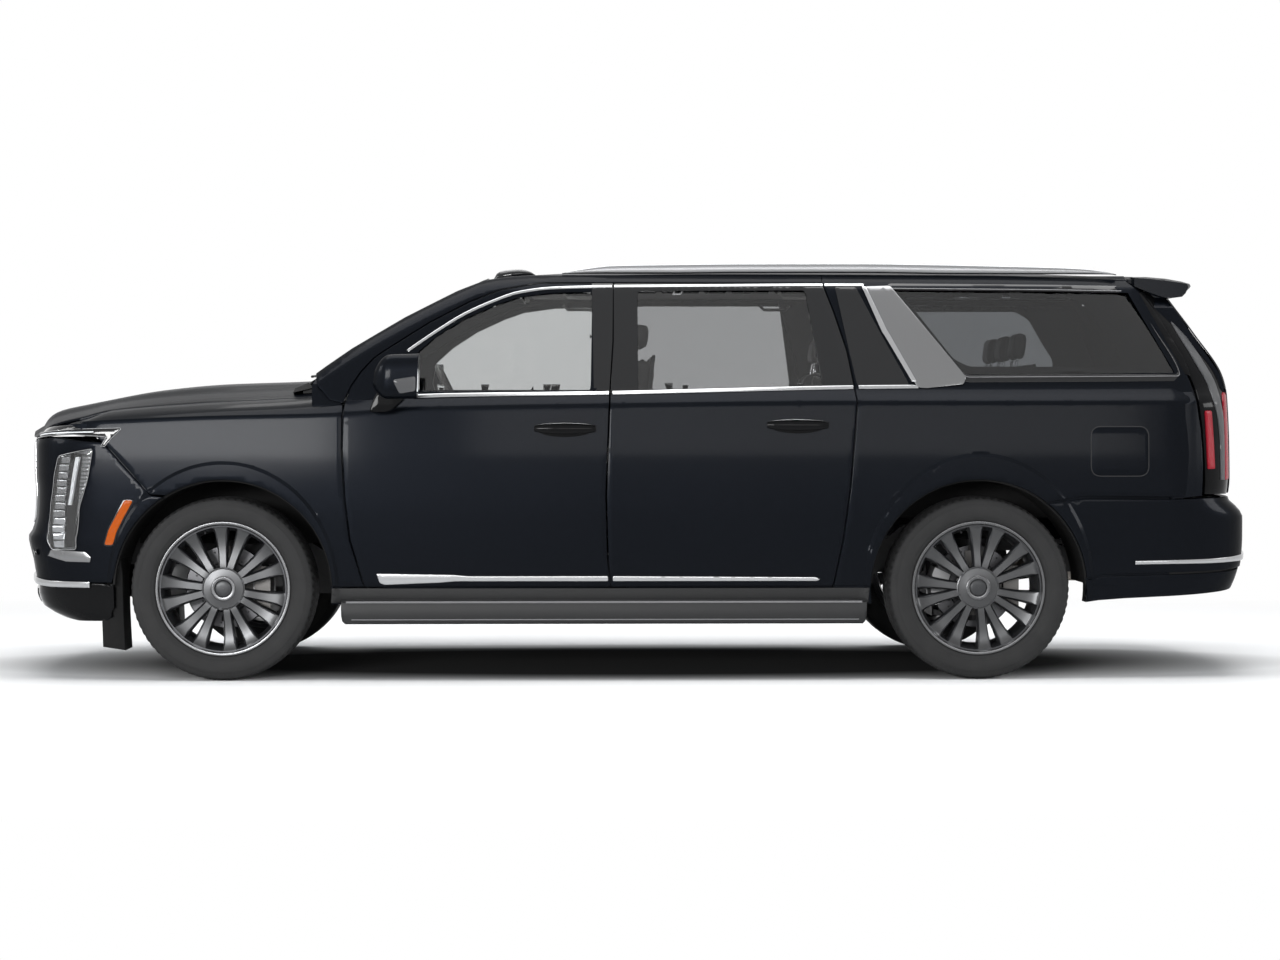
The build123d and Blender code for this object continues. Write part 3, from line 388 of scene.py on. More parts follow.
def curve(points):
    """A smooth function through (place, value) points, held level beyond its ends."""
    xs, ys = np.array(sorted(points), float).T
    slope = np.diff(ys) / np.diff(xs)
    inner = np.where(slope[1:] * slope[:-1] > 0,
                     2 * slope[1:] * slope[:-1] / (slope[1:] + slope[:-1] + 1e-30), 0.0)
    tangent = np.concatenate([[slope[0]], inner, [slope[-1]]])

    def at(x):
        x = np.clip(np.asarray(x, float), xs[0], xs[-1])
        i = np.clip(np.searchsorted(xs, x) - 1, 0, len(xs) - 2)
        h = xs[i + 1] - xs[i]
        t = (x - xs[i]) / h
        return (
            ys[i] * (1 + 2 * t) * (1 - t) ** 2
            + tangent[i] * h * t * (1 - t) ** 2
            + ys[i + 1] * t * t * (3 - 2 * t)
            + tangent[i + 1] * h * t * t * (t - 1)
        )

    return at


def step(x, low, high):
    """0 below low and 1 above high, with a smooth rise between."""
    t = np.clip((np.asarray(x, float) - low) / (high - low), 0.0, 1.0)
    return t * t * (3 - 2 * t)


def soft_ramp(t, radius):
    """Zero below 0 and t above it, with a rounded corner."""
    t = np.asarray(t, float)
    return radius * np.logaddexp(0.0, t / radius)


def soft_min(a, b, radius):
    return a - soft_ramp(a - b, radius)


def rounded(points, radius, steps=5):
    """A closed outline with its corners rounded."""
    points = [np.array(p, float) for p in points]
    out = []
    for i, corner in enumerate(points):
        before, after = points[i - 1], points[(i + 1) % len(points)]
        a, b = before - corner, after - corner
        reach = min(radius, 0.45 * np.linalg.norm(a), 0.45 * np.linalg.norm(b))
        a, b = a / np.linalg.norm(a), b / np.linalg.norm(b)
        if np.dot(a, b) < -0.985:
            out.append(corner)
            continue
        start, end = corner + a * reach, corner + b * reach
        for t in np.linspace(0, 1, steps):
            out.append((1 - t) ** 2 * start + 2 * t * (1 - t) * corner + t * t * end)
    return np.array(out)


def spaced(loop, gap):
    """A closed outline with no two neighbours further apart than gap."""
    out = []
    for a, b in zip(loop, np.roll(loop, -1, axis=0)):
        count = max(1, int(np.ceil(np.linalg.norm(b - a) / gap)))
        out.extend(a + (b - a) * k / count for k in range(count))
    return np.array(out)


def box_loop(left, low, right, high):
    """The four corners of an upright box, in order from (left, low)."""
    return [(left, low), (right, low), (right, high), (left, high)]


def full_turn(count):
    """Evenly spaced angles round a full turn, the first at 0."""
    return np.linspace(0, 2 * math.pi, count, endpoint=False)


def fuller(value, power):
    """A sine or cosine pushed towards 1 or -1, which squares up a round section."""
    return math.copysign(abs(value) ** power, value)


def area(loop):
    x, y = np.asarray(loop).T
    return 0.5 * np.sum(x * np.roll(y, -1) - np.roll(x, -1) * y)


def outward(loop):
    """Unit directions away from the inside of an outline that runs anticlockwise."""
    along = np.roll(loop, -1, axis=0) - np.roll(loop, 1, axis=0)
    length = np.maximum(np.linalg.norm(along, axis=1, keepdims=True), 1e-9)
    return np.c_[along[:, 1], -along[:, 0]] / length


def drawn_in(loop, amount):
    """An outline moved inwards all round."""
    loop = np.asarray(loop, float)
    loop = loop if area(loop) > 0 else loop[::-1]
    return loop - outward(loop) * amount


def inside(points, loop):
    x, y = points.T
    hit = np.zeros(len(points), bool)
    for (x0, y0), (x1, y1) in zip(loop, np.roll(loop, -1, axis=0)):
        crosses = (y0 > y) != (y1 > y)
        if crosses.any():
            where = x0 + (y[crosses] - y0) * (x1 - x0) / (y1 - y0)
            hit[crosses] ^= x[crosses] < where
    return hit


def nearest(points, targets, reach):
    """Which points lie within reach of any target."""
    close = np.zeros(len(points), bool)
    for start in range(0, len(targets), 200):
        part = targets[start : start + 200]
        gap = ((points[:, None, :] - part[None, :, :]) ** 2).sum(axis=2)
        close |= (gap < reach * reach).any(axis=1)
    return close


def plate(shape, chart, outer, holes=(), depth=(0.0, 0.02), finish=None, grid=0.022, roll=0.003,
          guides=(), rows=None, edge=None):
    """A curved panel of real thickness: an outline with holes on a chart, its edges rolled."""
    edge = edge or min(grid, 0.014)
    loops = []
    for index, loop in enumerate([outer, *holes]):
        loop = np.asarray(loop, float)
        if (area(loop) > 0) != (index == 0):
            loop = loop[::-1]
        loops.append(spaced(loop, edge))
    directions = [outward(loop) for loop in loops]
    inner = [loop - way * roll for loop, way in zip(loops, directions)]
    low, high = inner[0].min(axis=0), inner[0].max(axis=0)
    levels = rows if rows is not None else np.arange(low[1], high[1] + grid, grid)
    field = np.array([(u, v) for v in levels for u in np.arange(low[0], high[0] + grid, grid)])
    rims = np.concatenate(inner)
    extra = (np.concatenate([np.asarray(g, float) for g in guides]) if len(guides)
             else np.zeros((0, 2)))
    if len(extra):
        field = field[~nearest(field, extra, grid * 0.42)]
        field = np.concatenate([field, extra])
    keep = inside(field, inner[0]) & ~nearest(field, rims, edge * 0.55)
    for hole in inner[1:]:
        keep &= ~inside(field, hole)
    field = field[keep]
    points = np.concatenate([rims, field])
    edges, start = [], 0
    for loop in inner:
        count = len(loop)
        edges += [(start + k, start + (k + 1) % count) for k in range(count)]
        start += count
    verts, _, faces, origins, _, _ = delaunay_2d_cdt([Vector(p) for p in points], edges, [],
                                                     0, 1e-6)
    flat = np.array([tuple(v) for v in verts])
    faces = np.array(faces)
    middle = flat[faces].mean(axis=1)
    good = inside(middle, inner[0])
    for hole in inner[1:]:
        good &= ~inside(middle, hole)
    faces = faces[good]
    place = {}
    for new, olds in enumerate(origins):
        for old in olds:
            place[old] = new

    def deep(uv, which):
        return which(uv[:, 0], uv[:, 1]) if callable(which) else np.full(len(uv), float(which))

    front_points = chart(flat[:, 0], flat[:, 1], deep(flat, depth[0]))
    back_points = chart(flat[:, 0], flat[:, 1], deep(flat, depth[1]))
    total = len(flat)
    all_points = [front_points, back_points]
    front_faces = [tuple(f) for f in faces]
    back_faces = [tuple(f[::-1] + total) for f in faces]
    rim_faces = []
    count_now, start = 2 * total, 0
    for loop, way, ring in zip(loops, directions, inner):
        n = len(loop)
        first = [place[start + k] for k in range(n)]
        before = first
        for angle in (35, 65, 90):
            turn = math.radians(angle)
            uv = ring + way * roll * math.sin(turn)
            all_points.append(chart(uv[:, 0], uv[:, 1],
                                    deep(uv, depth[0]) + roll * (1 - math.cos(turn))))
            now = list(range(count_now, count_now + n))
            count_now += n
            rim_faces += [(before[k], before[(k + 1) % n], now[(k + 1) % n], now[k])
                          for k in range(n)]
            before = now
        all_points.append(chart(loop[:, 0], loop[:, 1], deep(loop, depth[1])))
        now = list(range(count_now, count_now + n))
        count_now += n
        rim_faces += [(before[k], before[(k + 1) % n], now[(k + 1) % n], now[k]) for k in range(n)]
        last = [f + total for f in first]
        rim_faces += [(now[k], now[(k + 1) % n], last[(k + 1) % n], last[k]) for k in range(n)]
        start += n
    return shape.add(np.concatenate(all_points), front_faces + rim_faces + back_faces, finish)


def band(line, width, wide_end=None):
    """A closed outline of even width round an open line of (u, v) points."""
    line = np.array(line, float)
    along = np.gradient(line, axis=0)
    away = np.c_[-along[:, 1], along[:, 0]] / np.linalg.norm(along, axis=1, keepdims=True)
    half = np.linspace(width, wide_end or width, len(line))[:, None] / 2
    return np.concatenate([line + away * half, (line - away * half)[::-1]])


def sampled(points, gap=0.03):
    """An open line of smooth points through the given ones, by their first coordinate."""
    points = sorted(points)
    at = curve(points)
    xs = np.linspace(points[0][0], points[-1][0], max(3, int((points[-1][0] - points[0][0]) / gap)))
    return np.c_[xs, at(xs)]


def lathe(shape, profile, centre, finish, turns=96, axis="y", wobble=None):
    """A profile of (along, radius) points turned about an axis through centre."""
    profile = np.array(profile, float)
    count = len(profile)
    angles = np.arange(turns) * 2 * math.pi / turns
    along = np.repeat(profile[None, :, 0], turns, axis=0)
    radius = np.repeat(profile[None, :, 1], turns, axis=0)
    if wobble is not None:
        radius = radius + wobble(angles[:, None], along, radius)
    c, s = np.cos(angles)[:, None] * radius, np.sin(angles)[:, None] * radius
    parts = {"y": (c, along, s), "x": (along, c, s), "z": (c, s, along)}[axis]
    points = np.stack(parts, axis=2).reshape(-1, 3) + np.array(centre)
    faces = []
    for i in range(turns):
        j = (i + 1) % turns
        for k in range(count):
            m = (k + 1) % count
            faces.append((i * count + k, j * count + k, j * count + m, i * count + m))
    return shape.add(points, faces, finish)


def loft(shape, rings, finish, caps=True):
    """Skins a row of closed rings, all with the same number of points."""
    rings = [np.asarray(r, float) for r in rings]
    n = len(rings[0])
    faces = []
    for i in range(len(rings) - 1):
        for k in range(n):
            m = (k + 1) % n
            faces.append((i * n + k, i * n + m, (i + 1) * n + m, (i + 1) * n + k))
    if caps:
        faces.append(tuple(range(n))[::-1])
        faces.append(tuple((len(rings) - 1) * n + k for k in range(n)))
    return shape.add(np.concatenate(rings), faces, finish)


def tube(shape, path, radius, finish, around=10):
    """A round bar along a path of points."""
    path = np.array(path, float)
    ways = np.gradient(path, axis=0)
    ways /= np.linalg.norm(ways, axis=1, keepdims=True)
    rings = []
    radii = np.broadcast_to(radius, len(path))
    for p, way, r in zip(path, ways, radii):
        side = np.cross(way, (0.31, 0.17, 0.93))
        side /= np.linalg.norm(side)
        up = np.cross(way, side)
        turn = full_turn(around)
        rings.append(p + r * (np.cos(turn)[:, None] * side + np.sin(turn)[:, None] * up))
    return loft(shape, rings, finish)


def block(shape, low, high, finish, radius=0.01, steps=3):
    """A box with softened edges, as a loft of rounded outlines."""
    low, high = np.array(low, float), np.array(high, float)
    size = (high - low) / 2
    radius = min(radius, *(size * 0.9))
    centre = (low + high) / 2

    def ring(z, shrink):
        out = []
        for sx, sy, begin in ((1, 1, 0), (-1, 1, 90), (-1, -1, 180), (1, -1, 270)):
            for k in range(steps + 1):
                turn = math.radians(begin + 90 * k / steps)
                out.append((
                    centre[0] + sx * (size[0] - radius) + (radius - shrink) * math.cos(turn),
                    centre[1] + sy * (size[1] - radius) + (radius - shrink) * math.sin(turn),
                    z,
                ))
        return out

    turns = [math.radians(90 * k / steps) for k in range(steps + 1)]
    rings = [ring(low[2] + radius * (1 - math.sin(t)), radius * (1 - math.cos(t)))
             for t in turns[::-1]]
    rings += [ring(high[2] - radius * (1 - math.sin(t)), radius * (1 - math.cos(t))) for t in turns]
    return loft(shape, rings, finish)


# ------------------------------ the body's outer surface
crease_height = curve([
    (-2.7, 1.160), (-2.284, 1.177), (-1.972, 1.190), (-1.342, 1.204), (-0.988, 1.226),
    (-0.149, 1.242), (0.968, 1.254), (1.623, 1.254), (2.485, 1.256), (2.9, 1.254),
])
lower_inset = curve([
    (0.20, 0.060), (0.34, 0.030), (0.42, 0.023), (0.52, 0.014), (0.64, 0.006), (0.80, 0.001),
    (1.00, 0.004), (1.12, 0.009), (1.20, 0.013), (1.32, 0.016),
])
roof_line = curve([(-1.56, 1.330), (-1.50, 1.366), (-1.422, 1.425), (-1.307, 1.505), (-1.07, 1.648),
                   (-0.833, 1.770), (-0.706, 1.820), (-0.60, 1.835), (-0.48, 1.841), (0.3, 1.843),
                   (1.6, 1.843), (2.28, 1.836)])
nose_inset = curve([(0.20, 0.34), (0.25, 0.22), (0.284, 0.13), (0.331, 0.056), (0.39, 0.036),
                    (0.449, 0.036), (0.519, 0.028), (0.556, 0.020), (0.594, 0.010), (0.635, 0.003),
                    (0.669, 0.022), (0.744, 0.040), (0.847, 0.044), (0.94, 0.038), (1.052, 0.038),
                    (1.10, 0.052), (1.127, 0.074), (1.148, 0.100), (1.18, 0.160)])
tail_inset = curve([(0.30, 0.10), (0.375, 0.060), (0.469, 0.020), (0.534, 0.006), (0.642, 0.0),
                    (0.725, 0.0), (0.760, 0.016), (0.815, 0.068), (0.898, 0.060), (1.053, 0.062),
                    (1.268, 0.072), (1.318, 0.078), (1.381, 0.096), (1.574, 0.228), (1.737, 0.352),
                    (1.84, 0.430)])
FLARES = ((AXLE_FRONT, 0.521, 0.575), (AXLE_REAR, 0.525, 0.611))
BELT = curve([(-1.30, 1.262), (-1.035, 1.276), (-0.856, 1.282), (-0.145, 1.292), (0.272, 1.302),
              (0.972, 1.318), (1.4, 1.322)])


def glass_inset(z):
    return 0.071 + 0.346 * (z - 1.30) - 0.010 * np.sin(np.clip((z - 1.30) / 0.52, 0, 1) * math.pi)


def flare_reach(x, z, flare):
    """1 on the outer edge of a wheel-arch flare, less inside it."""
    centre, wide, tall = flare
    across = (x - centre) / wide
    up = np.clip(z - AXLE_HEIGHT, 0, None) / tall
    return np.sqrt(across**2 + up**2)


def side_y(x, z):
    """Half width of the body at a point of its side."""
    x, z = np.asarray(x, float), np.asarray(z, float)
    rise = z - crease_height(x)
    low = lower_inset(z) + soft_ramp(0.95 * rise, 0.0045)
    inset = np.where(rise > -0.02, soft_min(low, np.maximum(glass_inset(z), 0.03), 0.003), low)
    top = np.clip(1 - (roof_line(x) - z) / 0.075, 0, 1.4)
    inset = inset + 0.060 * top**2
    proud = sum(0.011 * (1 - step(flare_reach(x, z, f), 0.972, 1.0)) for f in FLARES)
    return HALF_WIDTH - 0.030 * (x / 2.4) ** 2 - inset + proud


def nose_x(y, z):
    return -(HALF_LENGTH - y * y / END_BOW - nose_inset(z))


def tail_x(y, z):
    return HALF_LENGTH - y * y / END_BOW - tail_inset(z)


def outline_point(u, z):
    """Point of the body at distance u along its left side: straight side, corner, then end face."""
    u, z = np.broadcast_arrays(np.asarray(u, float), np.asarray(z, float))
    end = np.where(u < 0, -1.0, 1.0)
    a = np.abs(u)
    turn_x = np.where(end > 0, SIDE_END - np.clip(tail_inset(z) - 0.075, 0, None) * (z > 1.2),
                      SIDE_END)
    share = (np.minimum(a, SIDE_END) - SIDE_EVEN) * (turn_x - SIDE_EVEN) / (SIDE_END - SIDE_EVEN)
    along = np.where(a <= SIDE_EVEN, a, SIDE_EVEN + share)
    y_a = side_y(end * turn_x, z)
    y_b = y_a - 0.199

    def face(y):
        return np.where(end < 0, -nose_x(y, z), tail_x(y, z))

    x_b = face(y_b)
    t = np.clip((a - SIDE_END) / CORNER_RUN, 0, 1)
    fixed, leaving, arriving, reached = (
        (1 - t) ** 3, 3 * t * (1 - t) ** 2, 3 * t * t * (1 - t), t**3)
    x_c = turn_x + (x_b - turn_x) * 0.60
    x_d = x_b - 0.030
    corner_x = fixed * turn_x + leaving * x_c + arriving * x_d + reached * x_b
    corner_y = fixed * y_a + leaving * (y_a - 0.014) + arriving * (y_b + 0.11) + reached * y_b
    y_face = y_b - np.clip(a - CORNER_END, 0, None)
    x = np.where(a <= SIDE_END, along, np.where(a <= CORNER_END, corner_x, face(y_face)))
    y = np.where(a <= SIDE_END, side_y(end * along, z), np.where(a <= CORNER_END, corner_y, y_face))
    return end * x, y


def wrap(u, z, depth):
    """The body's left flank, unrolled: u runs nose to tail, depth goes inwards."""
    x, y = outline_point(u, z)
    ahead, behind = outline_point(u + 0.004, z), outline_point(u - 0.004, z)
    dx, dy = ahead[0] - behind[0], ahead[1] - behind[1]
    length = np.maximum(np.hypot(dx, dy), 1e-9)
    return np.c_[x + dy / length * depth, -(y - dx / length * depth), z]


def unroll(points):
    """Side-view points (x, z) as (u, z) points of the unrolled flank."""
    points = np.asarray(points, float)
    low, high = np.full(len(points), -CORNER_END), np.full(len(points), CORNER_END)
    for _ in range(40):
        middle = (low + high) / 2
        x, _y = outline_point(middle, points[:, 1])
        low, high = (np.where(x < points[:, 0], middle, low),
                     np.where(x < points[:, 0], high, middle))
    return np.c_[(low + high) / 2, points[:, 1]]


def flank_points(points):
    """Side-view points unrolled as a list, to be joined to other corners."""
    return [tuple(p) for p in unroll(points)]


FENDER_TOP = curve([(0.0, 0.0), (0.03, 0.022), (0.06, 0.037), (0.128, 0.058), (0.20, 0.068),
                    (0.262, FENDER_CROWN)])
HOOD_EDGE = curve([(-2.82, 1.128), (-2.70, 1.150), (-2.552, 1.182), (-2.415, 1.216),
                   (-2.006, 1.251), (-1.55, 1.276), (-1.30, 1.306)])


def fender_wrap(u, v, depth):
    """The fender's surface: v is height over the shoulder crease, then distance in over its top."""
    u, v, depth = np.broadcast_arrays(u, v, depth)
    crease = crease_height(u)
    low = wrap(u, crease + np.minimum(v, 0), depth * (v <= 0))
    inwards = np.clip(v, 0, None)
    scale = (HOOD_EDGE(u) - crease) / FENDER_CROWN
    rise = FENDER_TOP(inwards) * scale
    tilt = step(inwards, 0.0, 0.03)
    y = -low[:, 1] - inwards * 0.965 - np.where(v > 0, depth * (1 - tilt), 0)
    z = low[:, 2] + rise - np.where(v > 0, depth * tilt, 0)
    return np.c_[low[:, 0], -y, z]


HOOD_MIDDLE = curve([(-2.90, 1.200), (-2.80, 1.222), (-2.713, 1.234), (-2.641, 1.246),
                     (-2.519, 1.270), (-2.244, 1.320), (-1.955, 1.347), (-1.617, 1.359),
                     (-1.50, 1.364), (-1.40, 1.366)])


def hood_height(x, y):
    side = np.clip(np.abs(y) / 0.762, 0, 1.05)
    dome = 0.80 * (1 - side**2.4) + 0.20 * (1 - step(np.abs(y), 0.40, 0.54))
    lead = x - (nose_x(y, HOOD_LEAD_Z) - 0.006)
    drop = 0.078 * np.exp(-np.clip(lead, 0, None) / 0.032)
    return HOOD_EDGE(x) + (HOOD_MIDDLE(x) - HOOD_EDGE(x)) * dome - drop * (1 - 0.5 * side**3)


def hood_chart(x, y, depth):
    return np.c_[x, y, hood_height(x, y) - depth]


def roof_height(x, y):
    crown = curve([(-0.72, 1.842), (-0.60, 1.858), (-0.48, 1.868), (-0.2, 1.880), (0.4, 1.886),
                   (1.6, 1.882), (2.3, 1.862)])
    return crown(x) - 0.043 * (np.abs(y) / 0.715) ** 2.2


def roof_chart(x, y, depth):
    return np.c_[x, y, roof_height(x, y) - depth]


SCREEN = curve([(1.30, -1.636), (1.360, -1.531), (1.431, -1.422), (1.516, -1.307), (1.587, -1.189),
                (1.658, -1.070), (1.720, -0.952), (1.782, -0.833), (1.834, -0.715)])


def screen_chart(y, z, depth):
    return np.c_[SCREEN(z) + 0.10 * (y**2 - 0.09) + depth * 0.5, y, z - depth * 0.86]


def nose_chart(y, z, depth):
    return np.c_[nose_x(y, z) + depth, y, z]


def tail_chart(y, z, depth):
    return np.c_[tail_x(y, z) - depth, y, z]


def along_crease(start, end):
    xs = np.arange(start, end, 0.022)
    return [np.c_[xs, crease_height(xs) + off] for off in (-0.016, -0.007, 0.0, 0.007, 0.016)]


def round_flare(flare):
    centre, wide, tall = flare
    turn = np.linspace(-0.15, math.pi + 0.15, 90)
    rings = []
    for size in (0.955, 0.972, 0.986, 1.0, 1.016):
        x = centre + wide * size * np.cos(turn)
        z = AXLE_HEIGHT + tall * size * np.sin(turn)
        rings.append(np.c_[x, z])
    return rings


def arc(centre, radius, start, end, count=40):
    turn = np.radians(np.linspace(start, end, count))
    return [(centre + radius * math.cos(t), AXLE_HEIGHT + radius * math.sin(t)) for t in turn]


ARCH = 0.488
GAP = 0.003
front_gap = [(-1.203, 1.451), (-1.257, 1.392), (-1.302, 1.325), (-1.334, 1.240), (-1.339, 1.038),
             (-1.326, 0.813), (-1.304, 0.633), (-1.277, 0.543), (-1.250, 0.453),
             (-1.240, DOOR_FOOT)]
middle_gap = [(-0.131, DOOR_FOOT), (-0.145, 0.542), (-0.153, 0.830), (-0.135, 1.300),
              (-0.120, 1.532), (-0.117, 1.800)]
rear_gap = [(0.838, 1.800), (0.887, 1.668), (0.942, 1.488), (0.973, 1.317), (0.980, 1.254),
            (0.967, 1.082), (0.947, 0.857), (0.916, 0.631), (0.871, DOOR_FOOT)]
door_top = [(-0.452, 1.800), (-0.635, 1.766), (-0.772, 1.711), (-0.954, 1.615), (-1.159, 1.483)]
front_window = [(-1.040, 1.300), (-0.222, 1.305), (-0.214, 1.758), (-0.395, 1.754), (-0.552, 1.733),
                (-0.657, 1.696), (-0.793, 1.634), (-0.919, 1.554), (-1.010, 1.474)]
rear_window = [(-0.008, 1.306), (0.830, 1.318), (0.760, 1.766), (-0.008, 1.762)]
quarter_window = [(1.480, 1.372), (2.462, 1.378), (2.262, 1.762), (1.140, 1.772)]


def fitted(name, node, body, finish, clamp):
    """The inner structure behind a skin: the CAD form held a little inside the finished surface."""
    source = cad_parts[node].data
    points = np.array([tuple(v.co) for v in source.vertices])
    shape = Shape()
    shape.add(clamp(points), [tuple(p.vertices) for p in source.polygons], finish)
    return make(name, body, shape, [node], None, 25.0)


def inside_flank(points, margin=0.009):
    x, y, z = points.T
    limit = side_y(np.clip(x, -SIDE_END, SIDE_END), z) - margin
    return np.c_[x, np.clip(y, -limit, limit), z]


def inside_roof_edge(points):
    x, y, z = points.T
    low_edge = roof_line(x) - 0.012
    return np.c_[x, y, np.where(np.abs(y) > 0.60, np.minimum(z, np.maximum(low_edge, 0.3)), z)]


def inside_hood(points):
    x, y, z = points.T
    return np.c_[x, y, np.minimum(z, hood_height(x, y) - 0.008)]


def inside_roof(points):
    x, y, z = points.T
    return np.c_[x, y, np.minimum(z, roof_height(x, y) - 0.006)]


def inside_tail(points):
    x, y, z = points.T
    return np.c_[np.minimum(x, tail_x(y, np.minimum(z, 1.74)) - 0.008), y, z]


# ------------------------------ flank panels
def split_at(points, line, upper):
    """Keeps the part of an outline above or below a line z = line(x)."""
    out = []
    points = [np.array(p, float) for p in points]
    for a, b in zip(points, points[1:] + points[:1]):
        da, db = a[1] - line(a[0]), b[1] - line(b[0])
        keep_a, keep_b = (da > 0) == upper, (db > 0) == upper
        if keep_a:
            out.append(a)
        if keep_a != keep_b:
            out.append(a + (b - a) * da / (da - db))
    return np.array(out)


def with_line(loop, line):
    """Adds points along z = line(x) where an outline runs on it."""
    out = []
    for a, b in zip(loop, np.roll(loop, -1, axis=0)):
        out.append(a)
        on_line = abs(a[1] - line(a[0])) < 1e-6 and abs(b[1] - line(b[0])) < 1e-6
        if on_line and abs(b[0] - a[0]) > 0.05:
            for t in np.linspace(0, 1, 12)[1:-1]:
                x = a[0] + (b[0] - a[0]) * t
                out.append(np.array([x, line(x)]))
    return np.array(out)


front_door_loop = drawn_in(np.array(front_gap + middle_gap + door_top), GAP)
rear_door_loop = drawn_in(np.array(middle_gap[::-1] + rear_gap[::-1]), GAP)
SKIN = (0.0, 0.0075)


def door_skin(loop, holes, guides, surround):
    shape = Shape()
    low = with_line(split_at(loop, BELT, False), BELT)
    plate(shape, wrap, rounded(low, 0.012), (), SKIN, PAINT, guides=guides, grid=0.024)
    high = with_line(split_at(loop, BELT, True), BELT)
    plate(shape, wrap, rounded(high, 0.010), [rounded(h, 0.02) for h in holes], (-0.001, 0.0065),
          surround, grid=0.03, roll=0.002)
    return shape


FLANK = {"left": 1, "right": -1}


def on_side(shape, side):
    return shape if side == "left" else shape.mirrored()


front_skin = door_skin(front_door_loop, [front_window],
                       along_crease(-1.33, -0.14) + round_flare(FLARES[0]), PAINT)
REAR_POST = max(x for x, z in front_window) + 0.004
post = split_at(with_line(split_at(front_door_loop, BELT, True), BELT),
                lambda x: 1.40 + (REAR_POST - x) * 60.0, True)
plate(front_skin, wrap, rounded(post, 0.004), (), (-0.0022, 0.004), GLOSS_BLACK, grid=0.03,
      roll=0.001)
rear_skin = door_skin(rear_door_loop, [rear_window],
                      along_crease(-0.13, 0.97) + round_flare(FLARES[1]), GLOSS_BLACK)
for side in FLANK:
    for row, skin in (("front", front_skin), ("rear", rear_skin)):
        make(f"{row}_door_skin_{side}", f"{row}_door_{side}", on_side(skin, side), (), "body_paint")
        fitted(f"{row}_door_frame_{side}", f"{row}_door_{side}", f"{row}_door_{side}", PAINT,
               inside_flank)


def pane(loop, finish, depth=0.009, thick=0.0045, radius=0.02):
    return plate(Shape(), wrap, rounded(loop, radius), (), (depth, depth + thick), finish,
                 grid=0.04, roll=0.0008)


for side in FLANK:
    for row, loop, finish in (("front", front_window, FRONT_PANE),
                              ("rear", rear_window, REAR_PANE)):
        glass = pane(drawn_in(np.array(loop), -0.006), finish)
        make(f"{row}_side_glass_{side}", f"{row}_door_{side}", on_side(glass, side),
             [f"{row}_door_glass_{side}"], "privacy_glass")
quarter_pane = pane(drawn_in(unroll(quarter_window), -0.006), QUARTER_PANE)
make("quarter_side_glass", "chassis", quarter_pane.pair(), ["quarter_glass"], "privacy_glass")

# front fender: outline in (u, height over the crease)
fender_points = arc(AXLE_FRONT, ARCH, -1, 121)
fender_points += [(-2.199, 0.836), (-2.377, 1.037), (-2.436, 1.088)]
fender_loop = [(x, z - float(crease_height(x))) for x, z in fender_points]
fender_loop += [(-2.50, -0.040), (-2.575, -0.010), (-2.600, 0.060), (-2.590, 0.160),
                (-2.552, 0.258)]
fender_loop += [(-1.42, 0.258), (-1.352, 0.236), (-1.346, 0.10), (-1.336, 0.036)]
fender_loop += [(x, z - float(crease_height(x))) for x, z in front_gap[4:]]
fender_loop += [(-1.36, DOOR_FOOT - 1.204), (-1.385, DOOR_FOOT - 1.203)]
fender_rows = np.concatenate([np.arange(-0.80, -0.03, 0.024),
                              [-0.020, -0.012, -0.006, 0.0, 0.005, 0.010, 0.016, 0.024],
                              np.arange(0.034, 0.27, 0.014)])
flare_uv = [np.c_[ring[:, 0], ring[:, 1] - crease_height(ring[:, 0])]
            for ring in round_flare(FLARES[0])]
fender = Shape()
plate(fender, fender_wrap, drawn_in(np.array(fender_loop), GAP), (), SKIN, PAINT, grid=0.022,
      rows=fender_rows, guides=flare_uv)
make("front_fender_skins", "chassis", fender.pair(), (), "body_paint")


def inside_fender(points):
    x, y, z = points.T
    limit = side_y(np.clip(x, -SIDE_END, SIDE_END), np.minimum(z, crease_height(x))) - 0.012
    fitted_y = np.clip(y, -limit, limit)
    inward = np.clip(limit - np.abs(fitted_y), 0, 0.26)
    top = crease_height(x) + FENDER_TOP(inward) * (HOOD_EDGE(x)
                                                   - crease_height(x)) / FENDER_CROWN - 0.012
    return np.c_[x, fitted_y, np.minimum(z, top)]


fitted("front_fender_frames", "front_fenders", "chassis", PAINT, inside_fender)

# quarter panel with its wheel arch; the tail corner belongs to the bumper and the lamp
quarter_loop = [(0.871, DOOR_FOOT), (1.035, DOOR_FOOT)] + arc(AXLE_REAR, ARCH, 179, 52)
quarter_loop += [(2.010, 0.826), (2.396, 0.822), (2.545, 0.826)]
quarter_loop += [(2.556, 0.967), (2.546, 1.127), (2.528, 1.265), (2.502, 1.372), (2.320, 1.765),
                 (2.300, 1.842)]
quarter_loop += [(0.842, 1.842)] + rear_gap
quarter_outline = drawn_in(unroll(quarter_loop), GAP)
quarter = Shape()
plate(quarter, wrap, quarter_outline, [rounded(unroll(quarter_window), 0.02)], SKIN, PAINT,
      grid=0.024, guides=along_crease(0.99, 2.52) + round_flare(FLARES[1]))
make("quarter_panel_skins", "chassis", quarter.pair(), (), "body_paint")
fitted("quarter_panel_frames", "quarter_panels", "chassis", PAINT, inside_flank)

